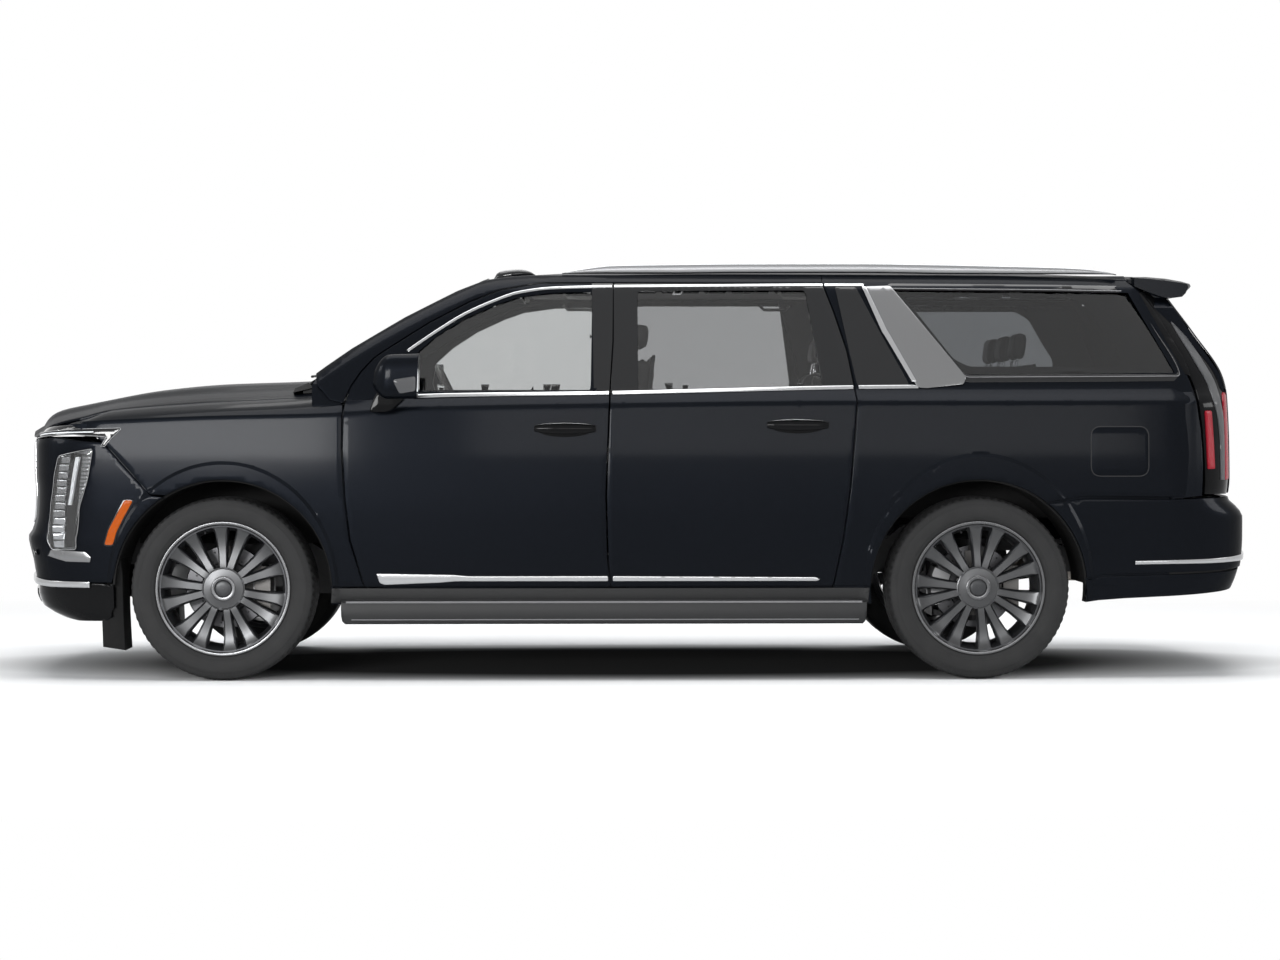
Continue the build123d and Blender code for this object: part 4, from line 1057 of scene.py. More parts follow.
# windshield pillar and roof rail of the body side
pillar_loop = [(-1.336, 1.246), (-1.302, 1.325), (-1.257, 1.392), (-1.203, 1.451),
               (-1.159, 1.483)] + door_top[::-1][1:]
pillar_loop += [(-0.117, 1.800), (0.838, 1.800), (0.842, 1.842), (-0.48, 1.842)]
pillar_loop += [(-0.60, 1.834), (-0.706, 1.818), (-0.833, 1.768), (-1.07, 1.645), (-1.307, 1.502),
                (-1.422, 1.421)]
pillar_loop += [(-1.47, 1.385), (-1.46, 1.33), (-1.40, 1.262)]
pillar = Shape()
plate(pillar, wrap, drawn_in(np.array(pillar_loop), GAP), (), SKIN, PAINT, grid=0.02, edge=0.010)
sill_loop = [(-1.385, 0.416), (-1.39, 0.350), (1.03, 0.350), (1.035, 0.416)]
plate(pillar, wrap, np.array(sill_loop), (), (-0.003, 0.03), BLACK_GRAIN, grid=0.03)
make("body_side_skins", "chassis", pillar.pair(), (), "body_paint")
fitted("body_side_frames", "side_frames", "chassis", PAINT,
       lambda p: inside_roof_edge(inside_flank(p)))


# ------------------------------ hood, roof, windshield
lead = [(y, nose_x(y, HOOD_LEAD_Z) - 0.004) for y in np.linspace(0, 0.60, 9)]
hood_loop = [(x, y) for y, x in lead] + [(-2.735, 0.68), (-2.66, 0.735), (-2.55, 0.757)]
hood_loop += [(-1.50, 0.757), (-1.47, 0.740), (-1.515, 0.40), (-1.535, 0.0)]
hood_half = np.array(hood_loop)
hood_whole = np.concatenate([hood_half, (hood_half * (1, -1))[::-1]])
bulge_xs = np.linspace(-2.7, -1.56, 39)
bulge_guides = [np.c_[bulge_xs, np.full(39, side * y)] for y in (0.40, 0.43, 0.47, 0.51, 0.54)
                for side in (-1, 1)]
nose_rings = [np.array([(nose_x(y, HOOD_LEAD_Z) + off, y) for y in np.arange(-0.66, 0.67, 0.03)])
              for off in (0.006, 0.014, 0.024, 0.036, 0.052, 0.075)]
hood_skin = Shape()
plate(hood_skin, hood_chart, hood_whole, (), (0.0, 0.008), PAINT, grid=0.030, roll=0.004,
      guides=bulge_guides + nose_rings)
make("hood_skin", "hood", hood_skin, (), "body_paint")
fitted("hood_frame", "hood", "hood", PAINT, inside_hood)

roof_outline = np.array([(-0.700, 0.0), (-0.690, 0.35), (-0.655, 0.66), (-0.60, 0.712),
                         (2.262, 0.712), (2.262, -0.712), (-0.60, -0.712), (-0.655, -0.66),
                         (-0.690, -0.35)])
roof_skin = Shape()
plate(roof_skin, roof_chart, roof_outline, (), (0.0, 0.008), PAINT, grid=0.05, roll=0.004)
make("roof_skin", "chassis", roof_skin, (), "body_paint")
fitted("roof_frame", "roof", "chassis", HEADLINER, inside_roof)

screen_loop = np.array([(0.0, 1.345), (0.60, 1.352), (0.78, 1.372), (0.835, 1.40), (0.815, 1.47),
                        (0.76, 1.60), (0.70, 1.735), (0.655, 1.822), (0.60, 1.832), (0.0, 1.838)])
screen_whole = np.concatenate([screen_loop, (screen_loop * (-1, 1))[::-1][1:-1]])
screen = Shape()
plate(screen, screen_chart, screen_whole, (), (0.002, 0.007), SCREEN_PANE, grid=0.04, roll=0.001)
make("windshield_pane", "chassis", screen, ["windshield"], "clear_glass")
frit = Shape()
plate(frit, screen_chart, screen_whole, [drawn_in(screen_whole, 0.05)], (0.0078, 0.0090), BORDER,
      grid=0.03, roll=0.0003)
make("windshield_border", "chassis", frit, ())

# ------------------------------ bright trims along the side glass
upper_line = sampled([(-1.055, 1.482), (-0.919, 1.577), (-0.793, 1.656), (-0.657, 1.718),
                      (-0.552, 1.755), (-0.395, 1.776), (-0.217, 1.782), (-0.115, 1.784),
                      (0.279, 1.788), (0.873, 1.793), (1.10, 1.793)])


def between(line, start, end):
    xs = np.linspace(start, end, max(4, int((end - start) / 0.03)))
    return np.c_[xs, np.interp(xs, line[:, 0], line[:, 1])]


def strip(line, width, proud=0.005, finish=CHROME, wide_end=None, grid=0.02):
    return plate(Shape(), wrap, unroll(band(line, width, wide_end)), (), (-proud, 0.004), finish,
                 grid=grid, roll=0.003, edge=0.02)


belt_xs = np.linspace(-1.02, 1.40, 60)
belt_line = np.c_[belt_xs, BELT(belt_xs) + 0.003]
trim_spans = {"front": (-1.02, -0.140), "rear": (-0.124, 0.966)}
for row, (start, end) in trim_spans.items():
    trims = strip(between(belt_line, start, end), 0.017)
    top_start, top_end = (-1.05, -0.125) if row == "front" else (-0.113, 0.842)
    trims.take(strip(between(upper_line, top_start, top_end), 0.013))
    for side in FLANK:
        make(f"{row}_window_trim_{side}", f"{row}_door_{side}", on_side(trims, side), (),
             "satin_metal")

pillar_trim = [(1.031, 1.786), (1.151, 1.790), (1.482, 1.368), (1.470, 1.334), (1.300, 1.316),
               (1.262, 1.318), (1.236, 1.352), (1.110, 1.585)]
inner_facet = [(1.018, 1.786), (1.040, 1.786), (1.128, 1.585), (1.258, 1.345), (1.232, 1.345),
               (1.098, 1.585)]
applique = [(0.896, 1.783), (0.992, 1.783), (1.090, 1.585), (1.212, 1.352), (1.222, 1.332),
            (0.984, 1.328), (0.952, 1.488)]
rear_trims = plate(Shape(), wrap, rounded(unroll(pillar_trim), 0.012), (), (-0.007, 0.004), SATIN,
                   grid=0.02, roll=0.004)
plate(rear_trims, wrap, rounded(unroll(inner_facet), 0.004), (), (-0.013, 0.0), CHROME, grid=0.02,
      roll=0.006)
rear_trims.take(strip(between(upper_line, 0.850, 1.03), 0.013))
rear_trims.take(strip(between(belt_line, 0.990, 1.262), 0.017))
plate(rear_trims, wrap, rounded(unroll(applique), 0.012), (), (-0.004, 0.004), GLOSS_BLACK,
      grid=0.03, roll=0.002)
surround = drawn_in(unroll(quarter_window), -0.030)
plate(rear_trims, wrap, rounded(surround, 0.03),
      [rounded(drawn_in(unroll(quarter_window), 0.004), 0.02)], (-0.0015, 0.006), GLOSS_BLACK,
      grid=0.03, roll=0.0015)
bright_line = rounded(drawn_in(unroll(quarter_window), -0.007), 0.022)
plate(rear_trims, wrap, bright_line, [rounded(drawn_in(unroll(quarter_window), -0.003), 0.020)],
      (-0.0030, 0.004), STEP_EDGE, grid=0.03, roll=0.0004)
clear_zone = rounded([(1.215, 1.735), (1.980, 1.735), (2.050, 1.695), (2.187, 1.490),
                      (2.190, 1.440), (2.165, 1.415), (1.500, 1.415), (1.430, 1.450)], 0.02)
plate(rear_trims, wrap, rounded(drawn_in(unroll(quarter_window), 0.003), 0.02),
      [unroll(clear_zone)], (0.0145, 0.0160), BORDER, grid=0.03, roll=0.0003)
make("rear_pillar_trims", "chassis", rear_trims.pair(), (), "satin_metal")

# lower door blades
front_blade = [(-1.186, 0.484), (-0.840, 0.478), (-0.770, 0.472), (-0.143, 0.472), (-0.143, 0.446),
               (-0.830, 0.446), (-0.900, 0.440), (-1.150, 0.430), (-1.172, 0.440)]
rear_blade = [(-0.125, 0.472), (0.790, 0.466), (0.815, 0.455), (0.800, 0.446), (-0.125, 0.446)]
for row, loop in (("front", front_blade), ("rear", rear_blade)):
    blade = plate(Shape(), wrap, rounded(np.array(loop), 0.008), (), (-0.012, 0.004), CHROME,
                  grid=0.02, roll=0.005)
    for side in FLANK:
        make(f"{row}_door_blade_{side}", f"{row}_door_{side}", on_side(blade, side), (),
             "satin_metal")


def handle(start, end, height, lean):
    """Pull handle: dark grip, bright line along its top, and behind it a flat deep-black sheet,
    painted shade where a recess would be.
    """
    shape = Shape()
    xs = np.linspace(start, end, 26)
    swell = np.sin(np.linspace(0.10, math.pi - 0.10, 26)) ** 0.30
    heights = height + (xs - start) * lean

    def rod(out, reach, rise, tall, finish, count):
        rings = []
        for x, s, z in zip(xs, swell, heights):
            base = float(side_y(x, z))
            turn = full_turn(count)
            rings.append([(x, -(base + out * s + 0.002 + reach * s * math.cos(t)),
                           z + rise * s + tall * s * math.sin(t)) for t in turn])
        loft(shape, rings, finish)

    rod(0.016, 0.014, -0.002, 0.024, DEEP_BLACK, 14)
    rod(0.020, 0.010, 0.0235, 0.0030, CHROME, 8)
    # A flat deep-black oval round the grip, barely proud of the skin: painted shade in place of a
    # dished recess.
    middle = (start + end) / 2
    dish = [(middle + 0.118 * math.cos(t), height + lean * 0.14 - 0.010 + 0.029 * math.sin(t))
            for t in full_turn(30)]
    plate(shape, wrap, np.array(dish), (), (-0.0012, 0.004), DEEP_BLACK, grid=0.02, roll=0.002)
    return shape


for row, shape in (("front", handle(-0.476, -0.200, 1.135, -0.004)),
                   ("rear", handle(0.571, 0.848, 1.151, -0.004))):
    for side in FLANK:
        make(f"{row}_door_handle_{side}", f"{row}_door_{side}", on_side(shape, side))

# fuel door: a shallow seam set in the left quarter
flap_loop = rounded(box_loop(2.040, 1.142, 2.300, 0.920), 0.045, 8)
flap = plate(Shape(), wrap, unroll(flap_loop), (), (-0.0012, 0.004), PAINT, grid=0.03, roll=0.0035)
seam = plate(Shape(), wrap, unroll(drawn_in(flap_loop, -0.0035)),
             [unroll(drawn_in(flap_loop, 0.001))], (-0.0003, 0.004), RUBBER, grid=0.03, roll=0.0002)
make("fuel_door", "chassis", flap.take(seam), (), "body_paint")

# ------------------------------ door mirrors
def mirror_head():
    shape = Shape()
    rings = []
    for t in np.linspace(0, 1, 15):
        x = -1.186 + 0.196 * t
        swell = math.sin(math.pi * min(0.5, 0.06 + t * 1.25)) ** 0.6
        half_y, half_z = 0.070 * swell, 0.100 * swell
        ring = []
        for turn in full_turn(36):
            c, s = math.cos(turn), math.sin(turn)
            ring.append((x + 0.006 * s, -1.113 - half_y * fuller(c, 0.62),
                         1.362 + half_z * fuller(s, 0.62) + 0.006 * t))
        rings.append(ring)
    loft(shape, rings, PAINT)
    glass = rounded(box_loop(-1.170, 1.290, -1.056, 1.440), 0.03)
    plate(shape, lambda y, z, d: np.c_[-0.9885 - d, y, z], glass, (), (0.0, 0.006), MIRROR_GLASS,
          grid=0.03, roll=0.001)
    arm = [(-1.208, 1.206), (-1.122, 1.206), (-1.052, 1.262), (-1.052, 1.300), (-1.170, 1.300),
           (-1.190, 1.262)]
    plate(shape, lambda x, z, d: np.c_[x, -1.135 + d, z], rounded(arm, 0.02), (), (0.0, 0.125),
          DEEP_BLACK, grid=0.03, roll=0.008)
    lens = rounded([(-1.100, 1.350), (-0.998, 1.366), (-0.998, 1.300), (-1.070, 1.288)], 0.012)
    plate(shape, lambda x, z, d: np.c_[x, -1.1835 + d, z], lens, (), (0.0, 0.006), TAIL_STRIP,
          grid=0.02, roll=0.002)
    return shape


MIRROR_GLASS = mottled("silvered_glass", (0.80, 0.82, 0.84), 0.03, 1.0, 8.0, 0.03, 0.0)
mirror = mirror_head()
for side in FLANK:
    make(f"mirror_{side}", f"front_door_{side}", on_side(mirror, side), [f"door_mirror_{side}"],
         "gloss_black")

# ------------------------------ nose: bumper, grille, lamps
lamp_edge = flank_points([(-2.453, 1.046), (-2.475, 0.911), (-2.516, 0.776), (-2.530, 0.588)])
lamp_edge += flank_points([(-2.650, 0.586), (-2.668, 0.700), (-2.656, 0.800), (-2.640, 0.910),
                           (-2.618, 1.012)])
lamp_loop = rounded(lamp_edge, 0.022)
lamp_sill = unroll([(-2.652, 0.590), (-2.492, 0.583), (-2.462, 0.556), (-2.468, 0.532),
                    (-2.580, 0.534), (-2.668, 0.560)])
nose = Shape()
arch_front = arc(AXLE_FRONT, ARCH, 122, 172)
outline = flank_points([(-2.199, 0.836), (-2.377, 1.037), (-2.412, 1.072)])
outline += [(-2.75, 1.096), (-3.02, 1.084), (-3.17, 1.080), (-3.185, 0.700), (-CENTRE_U, 0.694),
            (-CENTRE_U, 0.500), (-3.22, 0.500), (-3.05, 0.455), (-2.46, 0.440)]
outline += flank_points([(-2.372, 0.440)])
outline += flank_points(arch_front[::-1])
plate(nose, wrap, drawn_in(np.array(outline), 0.0015), [lamp_loop], (0.0, 0.03), PAINT, grid=0.022,
      guides=round_flare(FLARES[0]))
plate(nose, wrap, rounded(lamp_sill, 0.006), (), (-0.007, 0.02), SATIN, grid=0.02, roll=0.006)
apron = flank_points([(-2.366, 0.436), (-2.362, 0.330), (-2.40, 0.265)])
apron += [(-2.75, 0.262), (-3.02, 0.275), (-3.40, 0.285), (-CENTRE_U, 0.285), (-CENTRE_U, 0.506),
          (-3.22, 0.506), (-3.05, 0.452)]
plate(nose, wrap, drawn_in(np.array(apron), 0.002), (), (0.010, 0.04), DEEP_BLACK, grid=0.03)
blade_us = np.linspace(-CENTRE_U, -2.475, 60)
blade_zs = np.interp(blade_us, [-CENTRE_U, -3.05, -2.75, -2.475], [0.452, 0.446, 0.434, 0.432])
plate(nose, wrap, band(np.c_[blade_us, blade_zs], 0.030), (), (-0.010, 0.02), CHROME, grid=0.02,
      roll=0.006)
plate(nose, wrap, rounded([(-CENTRE_U, 0.330), (-3.20, 0.332), (-3.12, 0.400), (-CENTRE_U, 0.404)],
                          0.01), (), (0.006, 0.02), GLOSS_BLACK, grid=0.03)
for y_at in (-0.30, -0.86):
    plate(nose, nose_chart, rounded(box_loop(y_at - 0.012, 0.560, y_at + 0.012, 0.584), 0.009), (),
          (-0.001, 0.01), GLOSS_BLACK, grid=0.02, roll=0.002)
flap = [(-2.318, 0.134), (-2.420, 0.150), (-2.424, 0.262), (-2.404, 0.430), (-2.392, 0.560),
        (-2.352, 0.640), (-2.330, 0.480), (-2.326, 0.300)]
plate(nose, lambda x, z, d: np.c_[x, -0.945 + d, z], np.array(flap), (), (0.0, 0.19), LINER,
      grid=0.03, roll=0.006)
make("front_bumper_cover", "chassis", nose.pair(), ["front_bumper"], "body_paint")

# grille: a fine mesh in a bright-edged opening
mesh_shape = Shape()
grille_loop = rounded([(-0.62, 0.700), (0.62, 0.700), (0.655, 0.800), (0.640, 1.095),
                       (-0.640, 1.095), (-0.655, 0.800)], 0.03)
plate(mesh_shape, nose_chart, grille_loop, [drawn_in(grille_loop, 0.014)], (-0.006, 0.05), CHROME,
      grid=0.03, roll=0.005)
plate(mesh_shape, nose_chart, drawn_in(grille_loop, 0.010), (), (0.045, 0.06), BLACK_GRAIN,
      grid=0.05, roll=0.002)
for z in np.arange(0.722, 1.085, 0.026):
    ys = np.linspace(-0.622, 0.622, 27)
    line = np.c_[nose_x(ys, z) + 0.022 + 0.006 * np.cos(ys * 60), ys, np.full_like(ys, z)]
    tube(mesh_shape, line, 0.0062, GLOSS_BLACK, 6)
for y in np.arange(-0.60, 0.601, 0.030):
    zs = np.linspace(0.712, 1.085, 10)
    line = np.c_[nose_x(y, zs) + 0.026, np.full(10, y), zs]
    tube(mesh_shape, line, 0.0045, GLOSS_BLACK, 6)
make("grille_mesh", "chassis", mesh_shape, ["grille"], "black_plastic")


def lamp_column():
    """The tall front lamp at the corner: bezel, reflectors, light bar, finned inner column."""
    shape = Shape()
    plate(shape, wrap, lamp_loop, [drawn_in(lamp_loop, 0.004)], (-0.003, 0.07), CHROME, grid=0.03,
          roll=0.002)
    plate(shape, wrap, drawn_in(lamp_loop, 0.004), (), (0.060, 0.070), REFLECTOR, grid=0.03,
          roll=0.001)
    heights = [0.586, 0.700, 0.800, 0.910, 1.012, 1.040]
    outer = [-2.646, -2.662, -2.650, -2.634, -2.612, -2.560]
    inner = [-2.532, -2.530, -2.514, -2.476, -2.462, -2.455]
    for k in range(12):
        low = 0.598 + 0.0345 * k
        high = low + 0.0300
        bright = REFLECTOR if k < 4 else SATIN
        edge = np.interp([low, high], heights, outer) + 0.004
        stop = np.interp([low, high], [0.59, 0.80, 1.02], [-2.592, -2.592, -2.562])
        tile = unroll([(edge[0], low), (stop[0], low), (stop[1], high), (edge[1], high)])
        plate(shape, wrap, rounded(tile, 0.004), (), (0.008 + 0.004 * (k % 2), 0.030), bright,
              grid=0.03, roll=0.004)
        for half in (0.0, 0.0172):
            z = low + half
            if z > 0.70:
                start = np.interp(z, [0.70, 1.02], [-2.540, -2.503])
                fin = unroll([(start, z), (np.interp(z, heights, inner) - 0.006, z),
                              (np.interp(z, heights, inner) - 0.006, z + 0.0135),
                              (start, z + 0.0135)])
                plate(shape, wrap, fin, (), (0.012, 0.030), SATIN, grid=0.03, roll=0.002)
    bar = unroll([(-2.574, 0.790), (-2.560, 0.790), (-2.517, 1.006), (-2.536, 1.006)])
    plate(shape, wrap, rounded(bar, 0.004), (), (0.003, 0.050), LIGHT_BAR, grid=0.02, roll=0.003)
    stem = unroll([(-2.588, 0.600), (-2.544, 0.600), (-2.543, 0.780), (-2.506, 1.018),
                   (-2.552, 1.022), (-2.588, 0.790)])
    plate(shape, wrap, rounded(stem, 0.006), [drawn_in(rounded(bar, 0.004), -0.002)],
          (0.014, 0.055), DEEP_BLACK, grid=0.02, roll=0.003)
    return shape


lamp = lamp_column()
make("headlamp_bodies", "chassis", lamp.pair(), ["headlamps"], "lamp_lens")
cover = plate(Shape(), wrap, drawn_in(lamp_loop, 0.006), (), (-0.0005, 0.003), LENS, grid=0.03,
              roll=0.001)
make("headlamp_covers", "chassis", cover.pair(), (), "lamp_lens")

# slim upper light under the hood's edge, hooked at its rear end
slim = Shape()
slim_edge = [(-3.20, 1.112), (-3.02, 1.116), (-2.75, 1.126)] + flank_points([
    (-2.550, 1.132), (-2.332, 1.138), (-2.326, 1.130), (-2.372, 1.086), (-2.400, 1.052),
    (-2.418, 1.056), (-2.392, 1.096), (-2.550, 1.106),
]) + [(-2.75, 1.102), (-3.02, 1.090), (-3.20, 1.086)]
slim_edge = np.array(slim_edge)
plate(slim, wrap, slim_edge, [drawn_in(slim_edge, 0.0032)], (-0.005, 0.03), CHROME, grid=0.02,
      roll=0.003)
plate(slim, wrap, drawn_in(slim_edge, 0.002), (), (-0.001, 0.03), GLOSS_BLACK, grid=0.02,
      roll=0.001)
us = np.linspace(-3.18, -2.46, 40)
plate(slim, wrap, band(np.c_[us, np.interp(us, [-3.20, -2.75, -2.46], [1.100, 1.114, 1.119])],
                       0.006), (), (-0.003, 0.03), LIGHT_BAR, grid=0.02, roll=0.002)
cap = [(-3.30, 1.108), (-3.02, 1.112), (-2.75, 1.124), (-2.52, 1.132), (-2.50, 1.150),
       (-2.62, 1.150), (-3.02, 1.140), (-3.30, 1.128)]
plate(slim, wrap, np.array(cap), (), (0.004, 0.03), GLOSS_BLACK, grid=0.02)
make("slim_lamps", "chassis", slim.pair(), (), "lamp_lens")

marker = [(-2.274, 0.811), (-2.312, 0.813), (-2.350, 0.742), (-2.384, 0.680), (-2.404, 0.611),
          (-2.366, 0.611), (-2.348, 0.672), (-2.316, 0.735)]
amber = plate(Shape(), wrap, rounded(unroll(marker), 0.012), (), (-0.004, 0.006), AMBER, grid=0.015,
              roll=0.003)
plate(amber, wrap, drawn_in(rounded(unroll(marker), 0.012), -0.006), (), (-0.001, 0.006),
      GLOSS_BLACK, grid=0.02, roll=0.001)
make("side_markers", "chassis", amber.pair())


# ------------------------------ tail: gate, spoiler, glass, lamps, bumper
GATE_SPLIT = 1.318
SPOILER_HALF = 0.735
gate_half = [(0.0, 0.838), (0.793, 0.838), (0.793, 1.320), (0.742, 1.700), (0.742, 1.735)]
gate_whole = np.array(gate_half + [(-y, z) for y, z in gate_half[::-1][:-1]])
window_whole = np.array([(-0.700, 1.345), (0.700, 1.345), (0.655, 1.690), (-0.655, 1.690)])
plate_well = rounded([(-0.29, 0.960), (0.29, 0.960), (0.27, 1.105), (-0.27, 1.105)], 0.03)


def under_spoiler(points):
    """The gate's form inside the tail surface and below the top of the spoiler."""
    x, y, z = inside_tail(points).T
    roof_side = (np.abs(y) / SPOILER_HALF) ** 3
    top = np.interp(x, [2.24, 2.290, 2.400, 2.500, 2.578],
                    [1.846, 1.846, 1.848, 1.838, 1.822]) - 0.026 * roof_side
    return np.c_[x, y, np.where(z > 1.80, np.minimum(z, top), z)]


gate_skin = Shape()
low_gate = split_at(gate_whole, lambda x: GATE_SPLIT, False)
plate(gate_skin, tail_chart, rounded(low_gate, 0.02), [plate_well], (0.0, 0.008), PAINT, grid=0.03,
      roll=0.004)
high_gate = split_at(gate_whole, lambda x: GATE_SPLIT, True)
plate(gate_skin, tail_chart, rounded(high_gate, 0.02), [rounded(window_whole, 0.03)], (0.0, 0.008),
      GLOSS_BLACK, grid=0.04, roll=0.003)
plate(gate_skin, tail_chart, drawn_in(plate_well, -0.004), (), (0.022, 0.030), BLACK_GRAIN,
      grid=0.03, roll=0.002)
plate(gate_skin, tail_chart, plate_well, [drawn_in(plate_well, 0.006)], (0.0, 0.026), BLACK_GRAIN,
      grid=0.03, roll=0.001)
plate(gate_skin, tail_chart, rounded(box_loop(-0.26, 1.108, 0.26, 1.126), 0.006), (),
      (-0.010, 0.012), CHROME, grid=0.03, roll=0.004)
make("tailgate_skin", "tailgate", gate_skin, (), "body_paint")
fitted("tailgate_frame", "tailgate", "tailgate", PAINT, under_spoiler)
rear_pane = plate(Shape(), tail_chart, rounded(drawn_in(window_whole, -0.006), 0.03), (),
                  (0.009, 0.0135), QUARTER_PANE, grid=0.05, roll=0.001)
make("rear_window_pane", "tailgate", rear_pane, ["rear_glass"], "privacy_glass")

spoiler = Shape()
sections = []
middle_line = [(2.290, 1.852), (2.400, 1.856), (2.500, 1.849), (2.578, 1.833), (2.622, 1.818),
               (2.628, 1.806), (2.618, 1.797), (2.585, 1.790), (2.540, 1.770), (2.500, 1.745),
               (2.455, 1.748), (2.400, 1.775), (2.330, 1.800), (2.290, 1.815)]
end_line = [(2.286, 1.829), (2.360, 1.824), (2.440, 1.815), (2.500, 1.807), (2.530, 1.801),
            (2.536, 1.792), (2.534, 1.780), (2.524, 1.758), (2.508, 1.742), (2.470, 1.737),
            (2.430, 1.738), (2.390, 1.750), (2.330, 1.772), (2.286, 1.790)]
for y in np.linspace(-SPOILER_HALF, SPOILER_HALF, 33):
    edge = (abs(y) / SPOILER_HALF) ** 3
    sections.append([(x0 + (x1 - x0) * edge, y, z0 + (z1 - z0) * edge)
                     for (x0, z0), (x1, z1) in zip(middle_line, end_line)])
loft(spoiler, sections, PAINT)
stop = [[(x - 0.094 * (abs(y) / SPOILER_HALF) ** 3, y, z) for x,
         z in ((2.604, 1.790), (2.618, 1.793), (2.622, 1.786), (2.600, 1.783))]
        for y in np.linspace(-0.30, 0.30, 9)]
loft(spoiler, stop, RED)
make("roof_spoiler", "tailgate", spoiler, (), "body_paint", 40.0)
wiper = tube(Shape(), [(tail_x(0.05, 1.36) + 0.012, 0.05, 1.36),
                       (tail_x(0.2, 1.40) + 0.02, 0.2, 1.40),
                       (tail_x(0.42, 1.42) + 0.014, 0.42, 1.42)], 0.008, BLACK_GRAIN)
make("rear_wiper", "tailgate", wiper)


def tail_lamp():
    """Tall tail lamp that wraps the rear corner: ribbed outer strip, red core, dark housing."""
    shape = Shape()
    inner = unroll([(2.567, 0.835), (2.569, 0.967), (2.559, 1.127), (2.541, 1.265), (2.515, 1.372),
                    (2.418, 1.580), (2.335, 1.762)])
    outer_u = [(3.010, 0.835), (3.012, 1.10), (3.006, 1.33), (2.965, 1.55), (2.930, 1.762)]
    whole = np.array([tuple(p) for p in inner] + outer_u[::-1])
    plate(shape, wrap, rounded(whole, 0.012), (), (0.006, 0.05), DEEP_BLACK, grid=0.03, roll=0.004)
    heights = np.linspace(0.900, 1.742, 26)
    left = np.interp(heights, [0.90, 1.08, 1.19, 1.30, 1.42, 1.58, 1.742],
                     unroll([(2.650, 0.90), (2.642, 1.08), (2.626, 1.19), (2.590, 1.30),
                             (2.530, 1.42), (2.450, 1.58), (2.372, 1.742)])[:, 0])
    left = left + np.interp(heights, [0.90, 1.30, 1.742], [0.010, 0.035, 0.045])
    right = left + np.interp(heights, [0.90, 1.30, 1.45, 1.742], [0.085, 0.095, 0.090, 0.060])
    strip_loop = np.concatenate([np.c_[left, heights], np.c_[right, heights][::-1]])
    plate(shape, wrap, strip_loop, (), (0.000, 0.030), TAIL_STRIP, grid=0.025, roll=0.005)
    red = unroll([(2.568, 1.215), (2.602, 1.215), (2.618, 0.950), (2.580, 0.950)])
    plate(shape, wrap, rounded(red, 0.010), (), (-0.002, 0.030), RED, grid=0.02, roll=0.003)
    plate(shape, wrap, rounded([(2.85, 0.90), (2.95, 0.90), (2.945, 1.30), (2.86, 1.30)], 0.02), (),
          (-0.001, 0.03), RED, grid=0.02, roll=0.003)
    return shape


make("tail_lamp_lenses", "chassis", tail_lamp().pair(), ["tail_lamps"], "tail_lens")
panel = unroll([(2.476, 1.383), (2.492, 1.380), (2.513, 1.374), (2.330, 1.764), (2.276, 1.764)])
dark = plate(Shape(), wrap, rounded(panel, 0.006), (), (-0.0025, 0.006), DEEP_BLACK, grid=0.03,
             roll=0.002)
make("rear_pillar_panels", "chassis", dark.pair())

tail = Shape()
side_part = flank_points([(2.014, 0.820), (2.398, 0.816), (2.560, 0.820)])
bumper_loop = side_part + [(3.02, 0.822), (CENTRE_U, 0.822), (CENTRE_U, 0.50), (3.10, 0.50)]
bumper_loop += flank_points([(2.60, 0.485), (2.10, 0.470), (2.014, 0.452)])
bumper_loop += flank_points(arc(AXLE_REAR, ARCH, 4, 52))
plate(tail, wrap, drawn_in(np.array(bumper_loop), GAP), (), (0.0, 0.035), PAINT, grid=0.024,
      guides=round_flare(FLARES[1]))
low_loop = (flank_points([(2.016, 0.448), (2.10, 0.466), (2.60, 0.480)])
            + [(3.10, 0.496), (CENTRE_U, 0.496)])
low_loop += ([(CENTRE_U, 0.42), (3.08, 0.400)]
             + flank_points([(2.62, 0.385), (2.20, 0.362), (2.030, 0.350)]))
plate(tail, wrap, drawn_in(np.array(low_loop), 0.002), (), (0.006, 0.04), PAINT, grid=0.03)
seam_us = np.concatenate([unroll([(2.03, 0.45), (2.10, 0.468), (2.60, 0.4825)])[:, 0],
                          np.linspace(3.10, 3.82, 12)])
seam_zs = np.interp(seam_us, unroll([(2.03, 0.45), (2.10, 0.468), (2.60, 0.4825)])[:, 0].tolist()
                    + [3.10, 3.82], [0.450, 0.468, 0.4825, 0.498, 0.498])
plate(tail, wrap, band(np.c_[seam_us, seam_zs], 0.034), (), (0.020, 0.036), BLACK_GRAIN, grid=0.03)
us = np.concatenate([unroll([(2.24, 0.524)])[:, 0], np.linspace(2.42, CENTRE_U, 40)])
zs = np.interp(us, [2.24, 2.60, 3.02, CENTRE_U], [0.527, 0.533, 0.546, 0.552])
plate(tail, wrap, band(np.c_[us, zs], 0.020, 0.042), (), (-0.010, 0.02), CHROME, grid=0.02,
      roll=0.006)
# The red reflector takes the red lamp finish, whose faint emission makes it glow: painted light, as
# it is no lamp.
reflector_loop = box_loop(3.30, 0.64, 3.52, 0.665)
plate(tail, wrap, rounded(reflector_loop, 0.008), (), (-0.001, 0.02), RED, grid=0.02, roll=0.002)
make("rear_bumper_cover", "chassis", tail.pair(), ["rear_bumper"], "body_paint")

